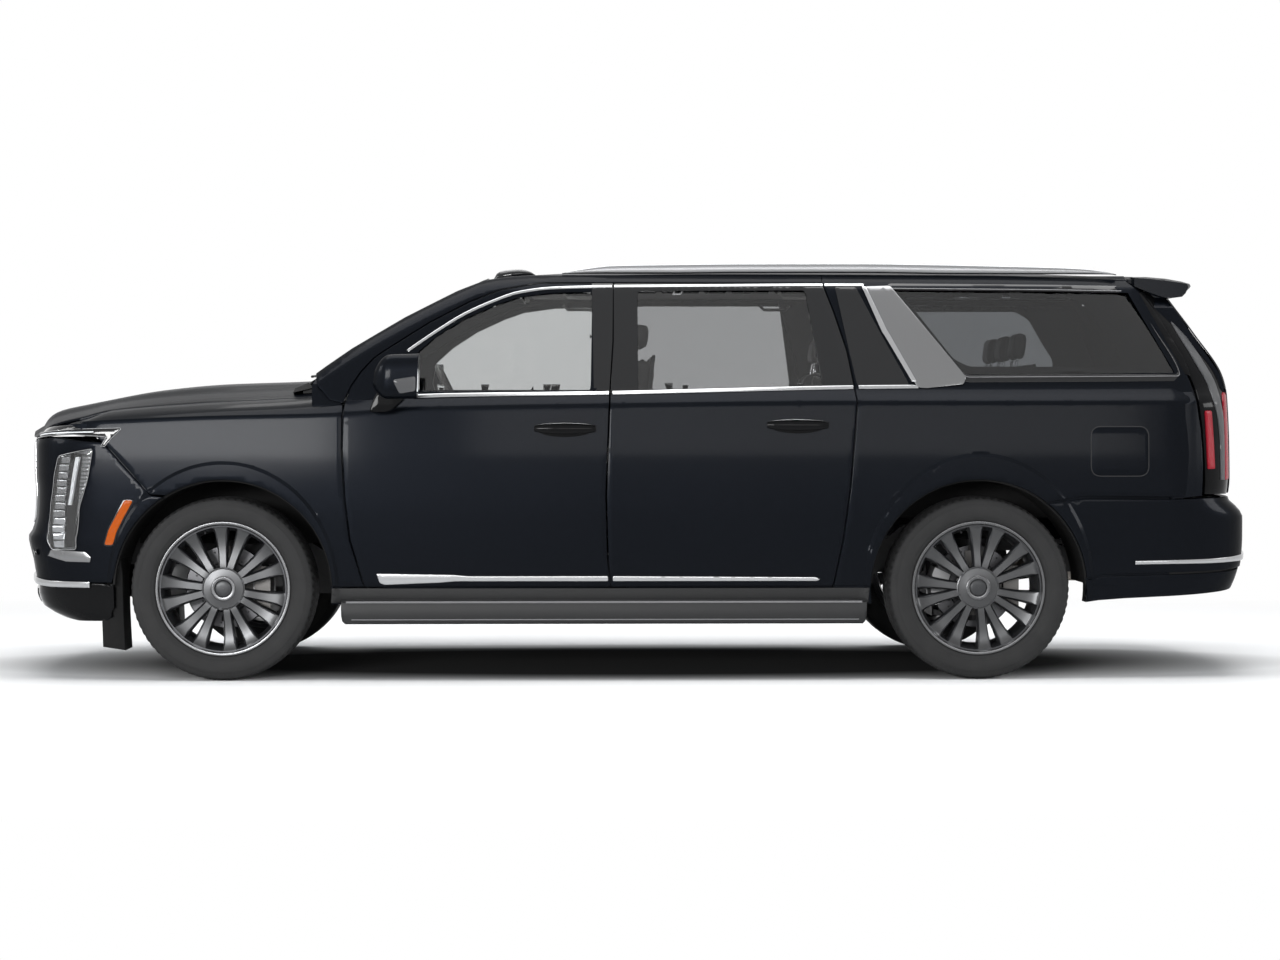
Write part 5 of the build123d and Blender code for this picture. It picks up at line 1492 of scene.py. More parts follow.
# ------------------------------ roof rails, aerial pod, running boards
rails = Shape()
xs = np.concatenate([[-0.352, -0.33, -0.29], np.linspace(-0.243, 2.087, 50), [2.15, 2.19, 2.206]])
tops = curve([(-0.352, 1.850), (-0.243, 1.872), (-0.127, 1.886), (0.098, 1.8905), (0.467, 1.895),
              (1.024, 1.8965), (1.371, 1.8925), (1.718, 1.885), (1.949, 1.879), (2.087, 1.871),
              (2.206, 1.848)])(xs)
rings = []
for x, top in zip(xs, tops):
    thick = min(0.046, max(0.006, top - 1.846)) / 2
    rings.append([(x, -0.7035 + 0.0125 * fuller(math.cos(t), 0.7),
                   top - thick + thick * fuller(math.sin(t), 0.7))
                  for t in full_turn(16)])
loft(rails, rings, RAIL_METAL)
make("roof_rail_bars", "chassis", rails.pair(), ["roof_rails"], "satin_metal", 40.0)

pod = Shape()
rings = []
for t in np.linspace(0.02, 1, 14):
    x0 = -0.690 + 0.205 * t
    base = 1.836 + 0.036 * t
    top = float(curve([(-0.690, 1.848), (-0.672, 1.884), (-0.64, 1.898), (-0.56, 1.904),
                       (-0.505, 1.893), (-0.483, 1.876)])(x0))
    half = 0.100 * math.sin(math.pi * (0.16 + 0.68 * t)) ** 0.5
    rings.append([(x0, half * fuller(math.cos(a), 0.5),
                   (top + base) / 2 + (top - base) / 2 * fuller(math.sin(a), 0.6))
                  for a in full_turn(28)])
loft(pod, rings, GLOSS_BLACK)
make("aerial_pod", "chassis", pod, ["roof_pod"], "gloss_black")

board = Shape()
profile = [(-0.936, 0.274), (-0.990, 0.262), (-1.012, 0.255), (-1.026, 0.262), (-1.034, 0.290),
           (-1.036, 0.325), (-1.030, 0.352), (-1.015, 0.3620), (-0.985, 0.3625), (-0.930, 0.3625),
           (-0.926, 0.320)]
rings = [[(x, y, z + lift * (z < 0.31)) for y, z in profile] for x,
         lift in [(-1.342, 0.030), (-1.338, 0.012)]
         + [(x, 0.0) for x in np.linspace(-1.325, 1.005, 30)] + [(1.016, 0.012), (1.020, 0.03)]]
loft(board, rings, STEP_GREY)
for k in range(5):
    y = -0.945 - 0.016 * k
    tube(board, [(x, y, 0.3635) for x in np.linspace(-1.28, 0.96, 12)], 0.0032, RUBBER, 6)
line = [(x, -1.0280, 0.3540) for x in np.linspace(-1.32, 1.0, 20)]
tube(board, line, 0.0052, STEP_EDGE, 8)
line = [(x, -1.0315, 0.2760) for x in np.linspace(-1.295, 0.985, 20)]
tube(board, line, 0.0026, STEP_EDGE, 8)
for x in (-1.15, -0.45, 0.25, 0.90):
    block(board, (x - 0.03, -0.95, 0.290), (x + 0.03, -0.905, 0.335), FRAME_STEEL, 0.006)
make("side_steps", "chassis", board.pair(), ["running_boards"], "black_plastic", 40.0)


# ------------------------------ wheels, brakes
TREAD_PITCHES = 72
TYRE_TURNS = 3 * TREAD_PITCHES
RIB_PLACES, RIB_RUN, RIB_HALF_ANGLE = 120, 20, 0.008
SPOKE_LEAN = 11.2


def tyre_profile():
    """(across, radius) points round the tyre's section, bead to bead and back inside."""
    half = [(0.1115, 0.2805), (0.1135, 0.292), (0.1135, 0.3035), (0.1200, 0.3070), (0.1260, 0.3150),
            (0.1305, 0.3240), (0.1318, 0.3245), (0.1345, 0.3350), (0.1365, 0.3500),
            (0.1368, 0.3620), (0.1355, 0.3740), (0.1342, 0.3745), (0.1325, 0.3830),
            (0.1300, 0.3920), (0.1262, 0.4000), (0.1200, 0.4060), (0.1120, 0.4100),
            (0.1020, 0.4120), (0.0860, 0.4126), (0.0840, 0.4126), (0.0835, 0.4050),
            (0.0735, 0.4050), (0.0730, 0.4128), (0.0520, 0.4130), (0.0310, 0.4130),
            (0.0305, 0.4050), (0.0215, 0.4050), (0.0210, 0.4130), (0.0050, 0.4130)]
    inner = [(0.1040, 0.2805), (0.1030, 0.300), (0.1180, 0.330), (0.1200, 0.370), (0.100, 0.395)]
    left_half = [(-a, r) for a, r in half[::-1]]
    return half + left_half + [(-a, r) for a, r in inner] + inner[::-1]


def tread_cut(angle, across, radius):
    """Sipes and shoulder blocks: how much the radius drops at each turn of the tread."""
    pitch = (angle / (2 * math.pi) * TREAD_PITCHES + np.sign(across) * 0.25 + across * 9.0) % 1.0
    shoulder = (np.abs(across) > 0.088) & (np.abs(across) < 0.1265) & (radius > 0.395)
    middle = (np.abs(across) < 0.083) & (radius > 0.41)
    return (np.where((pitch < 0.22) & shoulder, -0.0065, 0.0)
            + np.where((pitch < 0.13) & middle, -0.0055, 0.0))


def tyre_shape():
    """The tyre, with short plain ribs in groups round its outer sidewall."""
    shape = lathe(Shape(), tyre_profile(), (0, 0, 0), TYRE, TYRE_TURNS, wobble=tread_cut)
    ring = ((0.3775, -0.1347), (0.3775, -0.1357), (0.3905, -0.1320), (0.3905, -0.1303))
    for k in range(RIB_PLACES):
        if (k // RIB_RUN) % 2:
            continue
        turn = 2 * math.pi * k / RIB_PLACES
        quads = [(r * math.cos(turn + off), a, r * math.sin(turn + off))
                 for off in (-RIB_HALF_ANGLE, RIB_HALF_ANGLE) for r, a in ring]
        shape.add(quads, [(0, 1, 5, 4), (1, 2, 6, 5), (2, 3, 7, 6), (3, 0, 4, 7), (0, 3, 2, 1),
                          (4, 5, 6, 7)], TYRE)
    return shape


PAIR_COUNT = 7
PAIR_ANGLE = 81.5


def spoke(shape, angle, lean):
    """One spoke from hub to rim: a bright machined face between sloping grey flanks."""
    radii = [0.066, 0.090, 0.115, 0.150, 0.190, 0.225, 0.250, 0.268, 0.281, 0.290]
    widths = [0.0185, 0.0182, 0.0180, 0.0186, 0.0208, 0.0238, 0.0272, 0.0312, 0.0350, 0.0390]
    faces_out = [0.096, 0.0985, 0.0975, 0.0945, 0.0935, 0.0955, 0.0990, 0.1040, 0.1095, 0.1165]
    rings, tops = [], []
    for r, half, out in zip(radii, widths, faces_out):
        swing = math.radians(lean * (0.80 + 0.20 * (r - 0.066) / 0.224))
        turn = math.radians(angle) + swing
        c, s = math.cos(turn), math.sin(turn)
        foot = 0.030 + 0.010 * (r > 0.2)

        def at(w, depth):
            return (r * c - w * s, -out + depth, r * s + w * c)

        edge = half * (0.80 + 0.12 * (r > 0.26))
        rings.append([at(-edge, 0.0022), at(-half, 0.006), at(-half * 1.25, foot),
                      at(half * 1.25, foot), at(half, 0.006), at(edge, 0.0022)])
        tops.append([at(-edge, 0.0022), at(edge, 0.0022), at(edge * 0.94, 0.0),
                     at(-edge * 0.94, 0.0)])
    loft(shape, rings, POCKET)
    loft(shape, tops, MACHINED)


def rim_shape():
    shape = Shape()
    barrel = [(-0.1185, 0.3000), (-0.1198, 0.2960), (-0.1190, 0.2915), (-0.1120, 0.2880),
              (-0.1020, 0.2850), (-0.080, 0.2700), (-0.030, 0.2600), (0.060, 0.2590),
              (0.100, 0.2680), (0.1170, 0.2900), (0.1190, 0.3000), (0.1150, 0.3015),
              (0.1125, 0.2960), (0.1120, 0.2790), (0.060, 0.2640), (-0.030, 0.2650),
              (-0.100, 0.2785), (-0.1120, 0.2793), (-0.1125, 0.2960), (-0.1150, 0.3015)]
    lathe(shape, barrel, (0, 0, 0), POCKET, 120)
    lip = [(-0.1202, 0.3010), (-0.1206, 0.2965), (-0.1196, 0.2905), (-0.1120, 0.2868),
           (-0.1080, 0.2860), (-0.1070, 0.2880), (-0.1140, 0.2925), (-0.1160, 0.3010)]
    lathe(shape, lip, (0, 0, 0), WHEEL_RING, 120)
    for k in range(PAIR_COUNT):
        centre = PAIR_ANGLE + 360.0 * k / PAIR_COUNT
        for lean in (-SPOKE_LEAN, SPOKE_LEAN):
            spoke(shape, centre, lean)
    hub = [(-0.060, 0.098), (-0.0945, 0.0985), (-0.0985, 0.0960), (-0.1000, 0.0915),
           (-0.0995, 0.0902), (-0.0985, 0.0895), (-0.1000, 0.0885), (-0.1018, 0.0700),
           (-0.1040, 0.0570), (-0.0600, 0.0560)]
    lathe(shape, hub, (0, 0, 0), MACHINED, 96)
    ring = [(-0.060, 0.0565), (-0.1050, 0.0565), (-0.1072, 0.0540), (-0.1080, 0.0500),
            (-0.1064, 0.0400), (-0.1045, 0.0385), (-0.0600, 0.0375)]
    lathe(shape, ring, (0, 0, 0), WHEEL_RING, 96)
    cap = [(-0.0600, 0.0365), (-0.1035, 0.0370), (-0.1050, 0.0360), (-0.1065, 0.0320),
           (-0.1072, 0.0160), (-0.1074, 0.0008), (-0.0600, 0.0008)]
    lathe(shape, cap, (0, 0, 0), CAP_GREY, 64)
    for k in range(6):
        turn = math.radians(PAIR_ANGLE + 60 * k)
        c, s = math.cos(turn), math.sin(turn)
        notch = [(-0.1004, 0.086, -0.006), (-0.1004, 0.096, -0.006), (-0.1004, 0.096, 0.006),
                 (-0.1004, 0.086, 0.006)]
        quads = [(r * c - w * s, a + d, r * s + w * c) for d in (-0.0012, 0.006) for a, r,
                 w in notch]
        shape.add(quads, [(0, 1, 2, 3), (4, 7, 6, 5), (0, 4, 5, 1), (1, 5, 6, 2), (2, 6, 7, 3),
                          (3, 7, 4, 0)], POCKET)
    valve = math.radians(PAIR_ANGLE + 26)
    tube(shape, [(0.270 * math.cos(valve), -0.098, 0.270 * math.sin(valve)),
                 (0.262 * math.cos(valve), -0.112, 0.262 * math.sin(valve))], 0.004, RUBBER, 8)
    return shape


def disc_shape():
    """Ventilated brake disc with its hat and slots."""
    shape = Shape()
    ring = [(0.058, 0.088), (0.046, 0.088), (0.046, 0.112), (0.052, 0.118), (0.052, 0.186),
            (0.056, 0.190), (0.074, 0.190), (0.078, 0.186), (0.078, 0.112), (0.058, 0.108)]
    lathe(shape, ring, (0, 0, 0), DISC_STEEL, 96)
    for k in range(36):
        turn = 2 * math.pi * k / 36
        r = 0.130 + 0.018 * (k % 3)
        lathe(shape, [(0.0505, 0.0008), (0.0505, 0.0042), (0.0535, 0.0042), (0.0535, 0.0008)],
              (r * math.cos(turn), 0, r * math.sin(turn)), RUBBER, 10)
    return shape


tyre_form, rim_form, disc_form = tyre_shape(), rim_shape(), disc_shape()
for axle, x in (("front", AXLE_FRONT), ("rear", AXLE_REAR)):
    for side, sign in FLANK.items():
        hub_at = np.array((x, -sign * HALF_TRACK, AXLE_HEIGHT))
        body = f"wheel_{axle}_{side}"
        for label, form, nodes, slot in (
            ("tyre", tyre_form, [f"tyre_{axle}_{side}"], "tyre_rubber"),
            ("rim", rim_form, [f"rim_{axle}_{side}"], "rim_alloy"),
            ("brake_disc", disc_form, [], None),
        ):
            placed = (form if side == "left" else form.mirrored()).moved(lambda p: p + hub_at)
            make(f"{label}_{axle}_{side}_finished", body, placed, nodes, slot, 38.0)


# ------------------------------ cabin: seats
def swollen(name, size, cap, voxel=0.0115):
    """A padded block as (points, faces): a box inflated as cloth, no point moved over cap."""
    seed = Shape()
    half = np.array(size) / 2 - cap * 0.5
    block(seed, -half, half, LEATHER, 0.030, 4)
    mesh = bpy.data.meshes.new(name)
    mesh.from_pydata(seed.points, [], seed.faces)
    work = bmesh.new()
    work.from_mesh(mesh)
    bmesh.ops.recalc_face_normals(work, faces=work.faces)
    work.to_mesh(mesh)
    work.free()
    pad = bpy.data.objects.new(name, mesh)
    scene = bpy.context.scene
    scene.collection.objects.link(pad)
    remesh = pad.modifiers.new("even", "REMESH")
    remesh.mode = "VOXEL"
    remesh.voxel_size = voxel
    even = bpy.data.meshes.new_from_object(pad.evaluated_get(bpy.context.evaluated_depsgraph_get()))
    pad.modifiers.clear()
    pad.data = even
    rest = np.array([v.co[:] for v in even.vertices])
    cloth = pad.modifiers.new("swell", "CLOTH")
    cloth.settings.quality = 5
    cloth.settings.use_pressure = True
    cloth.settings.uniform_pressure_force = 4.0
    cloth.settings.effector_weights.gravity = 0.0
    cloth.collision_settings.use_collision = False
    cloth.collision_settings.use_self_collision = False
    for count in range(1, 21):
        scene.frame_set(count)
    moved = pad.evaluated_get(bpy.context.evaluated_depsgraph_get()).to_mesh()
    end = np.array([v.co[:] for v in moved.vertices])
    pad.modifiers.clear()
    scene.frame_set(1)
    shift = end - rest
    far = np.linalg.norm(shift, axis=1, keepdims=True)
    end = rest + shift * np.minimum(1.0, cap / np.maximum(far, 1e-9))
    faces = [tuple(p.vertices) for p in even.polygons]
    bpy.data.objects.remove(pad)
    return end, faces


def groove(values, places, width):
    """1 in each sewn channel, 0 away from them."""
    return sum(np.exp(-(((values - place) / width) ** 2)) for place in places)


SEAT_DEPTH, SEAT_WIDE, BACK_TALL = 0.455, 0.50, 0.66
CUSHION_TILT = math.radians(3.5)
SEAM_YS = (-0.150, 0.150)
THREAD_RADIUS = 0.0016
CUSHION = swollen("cushion_seed", (SEAT_DEPTH, SEAT_WIDE, 0.135), 0.026)
BACKREST = swollen("backrest_seed", (0.100, SEAT_WIDE, BACK_TALL), 0.022)
HEADREST = swollen("headrest_seed", (0.080, 0.27, 0.150), 0.016)


def sewn(pad, top_axis, along_axis, channels, bolster, dish):
    """Adds side bolsters, a dished middle and sewn channels to the upholstered face of a pad."""
    points, faces = pad
    points = points.copy()
    size = np.abs(points).max(axis=0)
    up = points[:, top_axis] / size[top_axis]
    face = np.clip(np.abs(up) * 1.6 - 0.6, 0, 1) * (up > 0)
    y = np.abs(points[:, 1]) / size[1]
    along = points[:, along_axis] / size[along_axis]
    flat = (y < 0.60) * np.clip((0.92 - np.abs(along)) * 8, 0, 1)
    lift = bolster * np.exp(-(((y - 0.80) / 0.15) ** 2)) - dish * (1 - np.clip(y / 0.62, 0, 1) ** 4)
    lift -= 0.006 * groove(along, channels, 0.030) * flat + 0.007 * groove(y, (0.60,), 0.030)
    points[:, top_axis] += lift * face
    return points, faces


def seam_line(points, top_axis, along_axis, y, out):
    """A path of points lying on the pad's upholstered face at one distance across."""
    size = np.abs(points).max(axis=0)
    path = []
    for at in np.linspace(-0.86, 0.86, 16) * size[along_axis]:
        close = (np.abs(points[:, 1] - y) < 0.014) & (np.abs(points[:, along_axis] - at) < 0.016)
        if close.any():
            spot = np.zeros(3)
            spot[1], spot[along_axis] = y, at
            spot[top_axis] = points[close, top_axis].max() + out
            path.append(spot)
    return np.array(path)


def seat_parts(front_x, base_z, top_z, centre_y, wide):
    """One seat in its place: (part name, shape) for cushion, back, head restraint and frame."""
    grow = wide / SEAT_WIDE
    lean = math.atan2(0.115, 0.56)
    back_low = np.array((front_x + 0.505, centre_y, base_z + 0.285))
    tall = (top_z - 0.165 - back_low[2]) / math.cos(lean)
    made = []

    def placed(points, scale, turn, place):
        points = points * scale
        c, s = math.cos(turn), math.sin(turn)
        x = points[:, 0] * c + points[:, 2] * s
        z = -points[:, 0] * s + points[:, 2] * c
        return np.c_[x, points[:, 1], z] + place

    cushion_points, cushion_faces = sewn(CUSHION, 2, 0, (-0.62, -0.32, -0.02, 0.28, 0.58), 0.014,
                                         0.006)
    cushion_spot = np.array((front_x + 0.252, centre_y, base_z + 0.208))
    pad = Shape()
    where = (1.0, grow, 1.0)
    pad.add(placed(cushion_points, where, CUSHION_TILT, cushion_spot), cushion_faces, LEATHER)
    for y in SEAM_YS:
        line = seam_line(cushion_points, 2, 0, y, -0.0012)
        tube(pad, placed(line, where, CUSHION_TILT, cushion_spot), THREAD_RADIUS, THREAD, 6)
    made.append(("cushion", pad))

    back_points, back_faces = sewn(BACKREST, 0, 2,
                                   (-0.72, -0.47, -0.22, 0.03, 0.28, 0.53), 0.016, 0.006)
    stretch = tall / BACK_TALL
    back_spot = back_low + np.array((math.sin(lean), 0, math.cos(lean))) * tall / 2
    pad = Shape()
    where = (-1.0, grow, stretch)
    faces = [f[::-1] for f in back_faces]
    pad.add(placed(back_points, where, lean, back_spot), faces, LEATHER)
    for y in SEAM_YS:
        line = seam_line(back_points, 0, 2, y, -0.0012)
        tube(pad, placed(line, where, lean, back_spot), THREAD_RADIUS, THREAD, 6)
    made.append(("backrest", pad))

    head_spot = np.array((front_x + 0.617, centre_y, top_z - 0.080))
    pad = Shape()
    pad.add(placed(HEADREST[0], (0.92, min(1.0, grow), 0.92), lean * 0.7, head_spot), HEADREST[1],
            LEATHER)
    made.append(("head_restraint", pad))

    hard = Shape()
    for y in (-0.075, 0.075):
        tube(hard, [head_spot + (-0.028, y, -0.155), head_spot + (-0.006, y, -0.04)], 0.0062,
             CHROME, 10)
    shell = [(front_x + 0.585, base_z + 0.25), (front_x + 0.600, base_z + 0.25),
             (front_x + 0.684, top_z - 0.165), (front_x + 0.668, top_z - 0.165)]
    rim = rounded(shell, 0.006, 3)
    loft(hard, [np.c_[rim[:, 0] - 0.004 * (abs(k) > 0.9),
                      np.full(len(rim), centre_y + k * wide * 0.45), rim[:, 1]]
                for k in (-1, -0.94, -0.5, 0, 0.5, 0.94, 1)], CABIN)
    pan = rounded([(front_x + 0.035, base_z + 0.150), (front_x + 0.050, base_z + 0.118),
                   (front_x + 0.525, base_z + 0.118), (front_x + 0.590, base_z + 0.160),
                   (front_x + 0.600, base_z + 0.255), (front_x + 0.560, base_z + 0.255),
                   (front_x + 0.500, base_z + 0.150)], 0.012, 3)
    loft(hard, [np.c_[pan[:, 0], np.full(len(pan), centre_y + k * wide * 0.485), pan[:, 1]]
                for k in (-1, -0.97, 0, 0.97, 1)], CABIN)
    for side in (-1, 1):
        rail_y = centre_y + side * wide * 0.36
        block(hard, (front_x + 0.065, rail_y - 0.024, base_z + 0.004),
              (front_x + 0.495, rail_y + 0.024, base_z + 0.030), FRAME_STEEL, 0.006)
        for x in (front_x + 0.115, front_x + 0.430):
            block(hard, (x - 0.030, rail_y - 0.016, base_z + 0.024),
                  (x + 0.030, rail_y + 0.016, base_z + 0.124), CABIN, 0.008)
        block(hard, (front_x + 0.10, centre_y + side * wide * 0.475 - 0.010, base_z + 0.128),
              (front_x + 0.46, centre_y + side * wide * 0.475 + 0.010, base_z + 0.180), CABIN,
              0.009)
    made.append(("seat_frame", hard))
    return made


rows = {"front": ("front_seats", -0.600, 0.560, 1.640, ((-0.400, 0.50), (0.400, 0.50))),
        "second_row": ("second_row_seats", 0.300, 0.560, 1.600, ((-0.430, 0.50), (0.430, 0.50))),
        "third_row": ("third_row_seat", 1.180, 0.770, 1.600,
                      ((-0.402, 0.385), (0.0, 0.385), (0.402, 0.385))),}
for row, (node, front_x, base_z, top_z, spots) in rows.items():
    for index, (centre_y, wide) in enumerate(spots):
        for part, shape in seat_parts(front_x, base_z, top_z, centre_y, wide):
            first = index == 0 and part == "cushion"
            piece = make(f"{row}_{part}_{index + 1}", "chassis", shape, [node] if first else (),
                         "seat_leather" if part != "seat_frame" else "cabin_plastic", 40.0)
            part != "seat_frame"

# ------------------------------ cabin: dashboard, wheel, console
face = rounded([(-1.343, 0.905), (-1.010, 0.905), (-0.985, 0.955), (-0.975, 1.060), (-0.958, 1.120),
                (-0.958, 1.135), (-0.976, 1.202), (-1.062, 1.231), (-1.343, 1.260)], 0.014, 4)
dash_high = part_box("dashboard")[1]
dash_end = dash_high[1] - 0.004
dash = Shape()
loft(dash, [np.c_[face[:, 0] - 0.012 * (abs(k) > 0.985), np.full(len(face), k * dash_end),
                  face[:, 1]] for k in (-1, -0.985, -0.6, -0.2, 0.2, 0.6, 0.985, 1)], CABIN)


def dash_face(y, z, depth):
    """A point on the dashboard's rear face, at a height, moved into it by depth."""
    x = np.interp(z, [0.905, 0.955, 1.060, 1.120, 1.135, 1.202, 1.231],
                  [-1.010, -0.985, -0.975, -0.958, -0.958, -0.976, -1.062])
    return np.c_[x - depth, y, z]


plate(dash, dash_face, rounded(box_loop(-0.62, 1.128, 0.26, 1.196), 0.02), (), (-0.004, 0.010),
      SCREEN_GLASS, grid=0.05, roll=0.002)
plate(dash, dash_face, rounded(box_loop(0.29, 1.128, 0.76, 1.190), 0.018), (), (-0.003, 0.010),
      SCREEN_GLASS, grid=0.05, roll=0.002)
plate(dash, dash_face, rounded(box_loop(-0.80, 1.084, 0.80, 1.112), 0.006), (), (-0.003, 0.010),
      VENEER, grid=0.05, roll=0.002)
for low_y in (-0.79, -0.155, 0.02, 0.655):
    for k in range(3):
        z = 1.044 + 0.012 * k
        plate(dash, dash_face, rounded(box_loop(low_y, z, low_y + 0.135, z + 0.005), 0.002),
              (), (-0.003, 0.008), CHROME if k == 1 else CABIN, grid=0.05, roll=0.001)
plate(dash, dash_face, rounded([(0.19, 0.925), (0.70, 0.925), (0.72, 1.030), (0.19, 1.030)], 0.02),
      [rounded([(0.193, 0.928), (0.697, 0.928), (0.717, 1.027), (0.193, 1.027)], 0.018)],
      (-0.0015, 0.006), RUBBER, grid=0.05, roll=0.0005)
plate(dash, dash_face, rounded(box_loop(-0.10, 0.955, 0.10, 1.030), 0.012), (), (-0.004, 0.010),
      GLOSS_BLACK, grid=0.05, roll=0.002)
tube(dash, [(-1.10, -0.40, 1.150), (-0.93, -0.40, 1.222)], 0.030, CABIN, 16)
make("dashboard_finished", "chassis", dash, ["dashboard"], "cabin_plastic")

wheel = Shape()
WHEEL_TILT = math.radians(25)
WHEEL_RADIUS, GRIP_RADIUS = 0.185, 0.0142
hub_at = np.array((-0.860, -0.400, 1.255))
across, upward = np.array((0, 1.0, 0)), np.array((-math.sin(WHEEL_TILT), 0, math.cos(WHEEL_TILT)))
forward = np.array((-math.cos(WHEEL_TILT), 0, -math.sin(WHEEL_TILT)))
turns = np.linspace(0, 2 * math.pi, 49)[:-1]
loft_rings = []
for t in turns:
    spine = hub_at + WHEEL_RADIUS * (across * math.cos(t) + upward * math.sin(t))
    way = across * math.cos(t) + upward * math.sin(t)
    loft_rings.append([spine + GRIP_RADIUS * (way * math.cos(a) + forward * math.sin(a) * 1.05)
                       for a in full_turn(12)])
loft(wheel, loft_rings + [loft_rings[0]], LEATHER, False)
for t, wide in ((0.0, 0.030), (math.pi, 0.030), (-math.pi / 2, 0.024)):
    way = across * math.cos(t) + upward * math.sin(t)
    side_way = np.cross(way, forward)
    rings = []
    for r in (0.045, 0.090, 0.140, 0.180):
        spread = wide * (1.0 - 0.35 * (r - 0.045) / 0.135)
        rings.append([hub_at + way * r + side_way * spread * math.cos(a) + forward
                      * (0.006 + 0.008 * math.sin(a)) for a in full_turn(12)])
    loft(wheel, rings, CABIN)
    rings = [[hub_at + way * r + side_way * spread * 0.5 * math.cos(a) + forward
              * (-0.004 + 0.004 * math.sin(a)) for a in full_turn(8)] for r,
             spread in ((0.075, 0.026), (0.135, 0.018))]
    loft(wheel, rings, GLOSS_BLACK)
rings = []
for depth, radius in ((0.020, 0.048), (0.006, 0.058), (-0.010, 0.056), (-0.017, 0.045),
                      (-0.019, 0.020)):
    rings.append([hub_at + forward * depth + radius
                  * (across * math.cos(a) * 1.05 + upward * math.sin(a) * 0.92)
                  for a in full_turn(32)])
loft(wheel, rings, LEATHER)
make("steering_wheel_finished", "chassis", wheel, ["steering_wheel"], "seat_leather", 45.0)

console = Shape()
CONSOLE_TOP = 0.8725
body_line = rounded([(-0.926, 0.570), (-0.926, 0.800), (-0.860, 0.872), (-0.155, 0.872),
                     (-0.155, 0.570)], 0.02, 4)
loft(console, [np.c_[body_line[:, 0], np.full(len(body_line), y), body_line[:, 1]]
               for y in (-0.109, -0.104, 0.0, 0.104, 0.109)], CABIN)


def console_top(x, y, depth):
    return np.c_[x, y, np.full(len(x), CONSOLE_TOP) - depth]


plate(console, console_top, rounded(box_loop(-0.845, -0.092, -0.50, 0.092), 0.02), (),
      (-0.003, 0.010), VENEER, grid=0.05, roll=0.002)
plate(console, console_top, rounded(box_loop(-0.825, -0.055, -0.700, 0.055), 0.02), (),
      (-0.0055, 0.005), GLOSS_BLACK, grid=0.05, roll=0.002)
for y in (-0.044, 0.044):
    cup = [(0.8715, 0.0385), (0.8775, 0.0385), (0.8775, 0.0345), (0.8765, 0.0330), (0.8765, 0.0005),
           (0.8715, 0.0005)]
    ringed = Shape()
    lathe(ringed, cup, (0, 0, 0), CHROME, 32, axis="z")
    console.take(ringed.moved(lambda p, y=y: p + (-0.590, y, 0.0)))
    lathe(console, box_loop(0.0, 0.032, 0.0012, 0.0005), (-0.590, y, 0.8768), RUBBER, 32, axis="z")
arm_line = rounded(box_loop(-0.470, -0.100, -0.165, 0.100), 0.025, 5)
plate(console, console_top, arm_line, (), (-0.0065, 0.004), LEATHER, grid=0.03, roll=0.006)
make("console_finished", "chassis", console, ["console"], "cabin_plastic")

# ------------------------------ cabin: door trims, headlining fittings
DOOR_THICK, TRIM_THICK = 0.120, 0.020
for row, (start, end) in {"front": (-1.06, -0.19), "rear": (-0.06, 0.88)}.items():
    inner_y = -HALF_WIDTH + DOOR_THICK + TRIM_THICK

    def door_side(x, z, depth):
        """A point on the inner face of the left door, moved towards the skin by depth."""
        return np.c_[x, inner_y - depth + 0.012 * np.clip((0.80 - z) / 0.4, 0, 1), z]

    trim = Shape()
    floor_z = 0.56 if row == "front" else 0.62
    back = end if row == "front" else min(end, 0.80)
    outline = rounded(box_loop(start, floor_z, back, 1.205), 0.05)
    plate(trim, door_side, outline, (), (-0.006, 0.020), CABIN, grid=0.06, roll=0.008)
    plate(trim, door_side, rounded(box_loop(start + 0.05, 1.110, back - 0.04, 1.150),
                                   0.012), (), (-0.011, 0.0), VENEER, grid=0.06, roll=0.003)
    plate(trim, door_side, rounded([(start + 0.16, 0.945), (back - 0.06, 0.945),
                                    (back - 0.04, 1.070), (start + 0.16, 1.060)], 0.03), (),
          (-0.014, 0.0), LEATHER, grid=0.05, roll=0.008)
    plate(trim, door_side, rounded([(start + 0.22, 0.895), (back - 0.10, 0.895),
                                    (back - 0.08, 0.940), (start + 0.22, 0.935)], 0.018), (),
          (-0.050, 0.0), LEATHER, grid=0.05, roll=0.012)
    for k in range(4):
        x = start + 0.27 + 0.040 * k
        plate(trim, lambda x, y, d: np.c_[x, y, 0.9415 - d],
              rounded(box_loop(x, inner_y + 0.012, x + 0.028, inner_y + 0.036), 0.004), (),
              (-0.003, 0.006), GLOSS_BLACK, grid=0.03, roll=0.002)
    speaker = [(start + 0.17 + 0.075 * math.cos(t), floor_z + 0.14 + 0.075 * math.sin(t))
               for t in turns]
    plate(trim, door_side, np.array(speaker), (), (-0.012, 0.0), DRILLED, grid=0.03, roll=0.004)
    pull = [(start + 0.20, 1.030), (start + 0.24, 1.036), (start + 0.28, 1.032)]
    tube(trim, [(x, inner_y + 0.024, z) for x, z in pull], 0.006, CHROME, 8)
    for side in FLANK:
        make(f"{row}_door_trim_{side}", f"{row}_door_{side}", on_side(trim, side), (),
             "cabin_plastic")

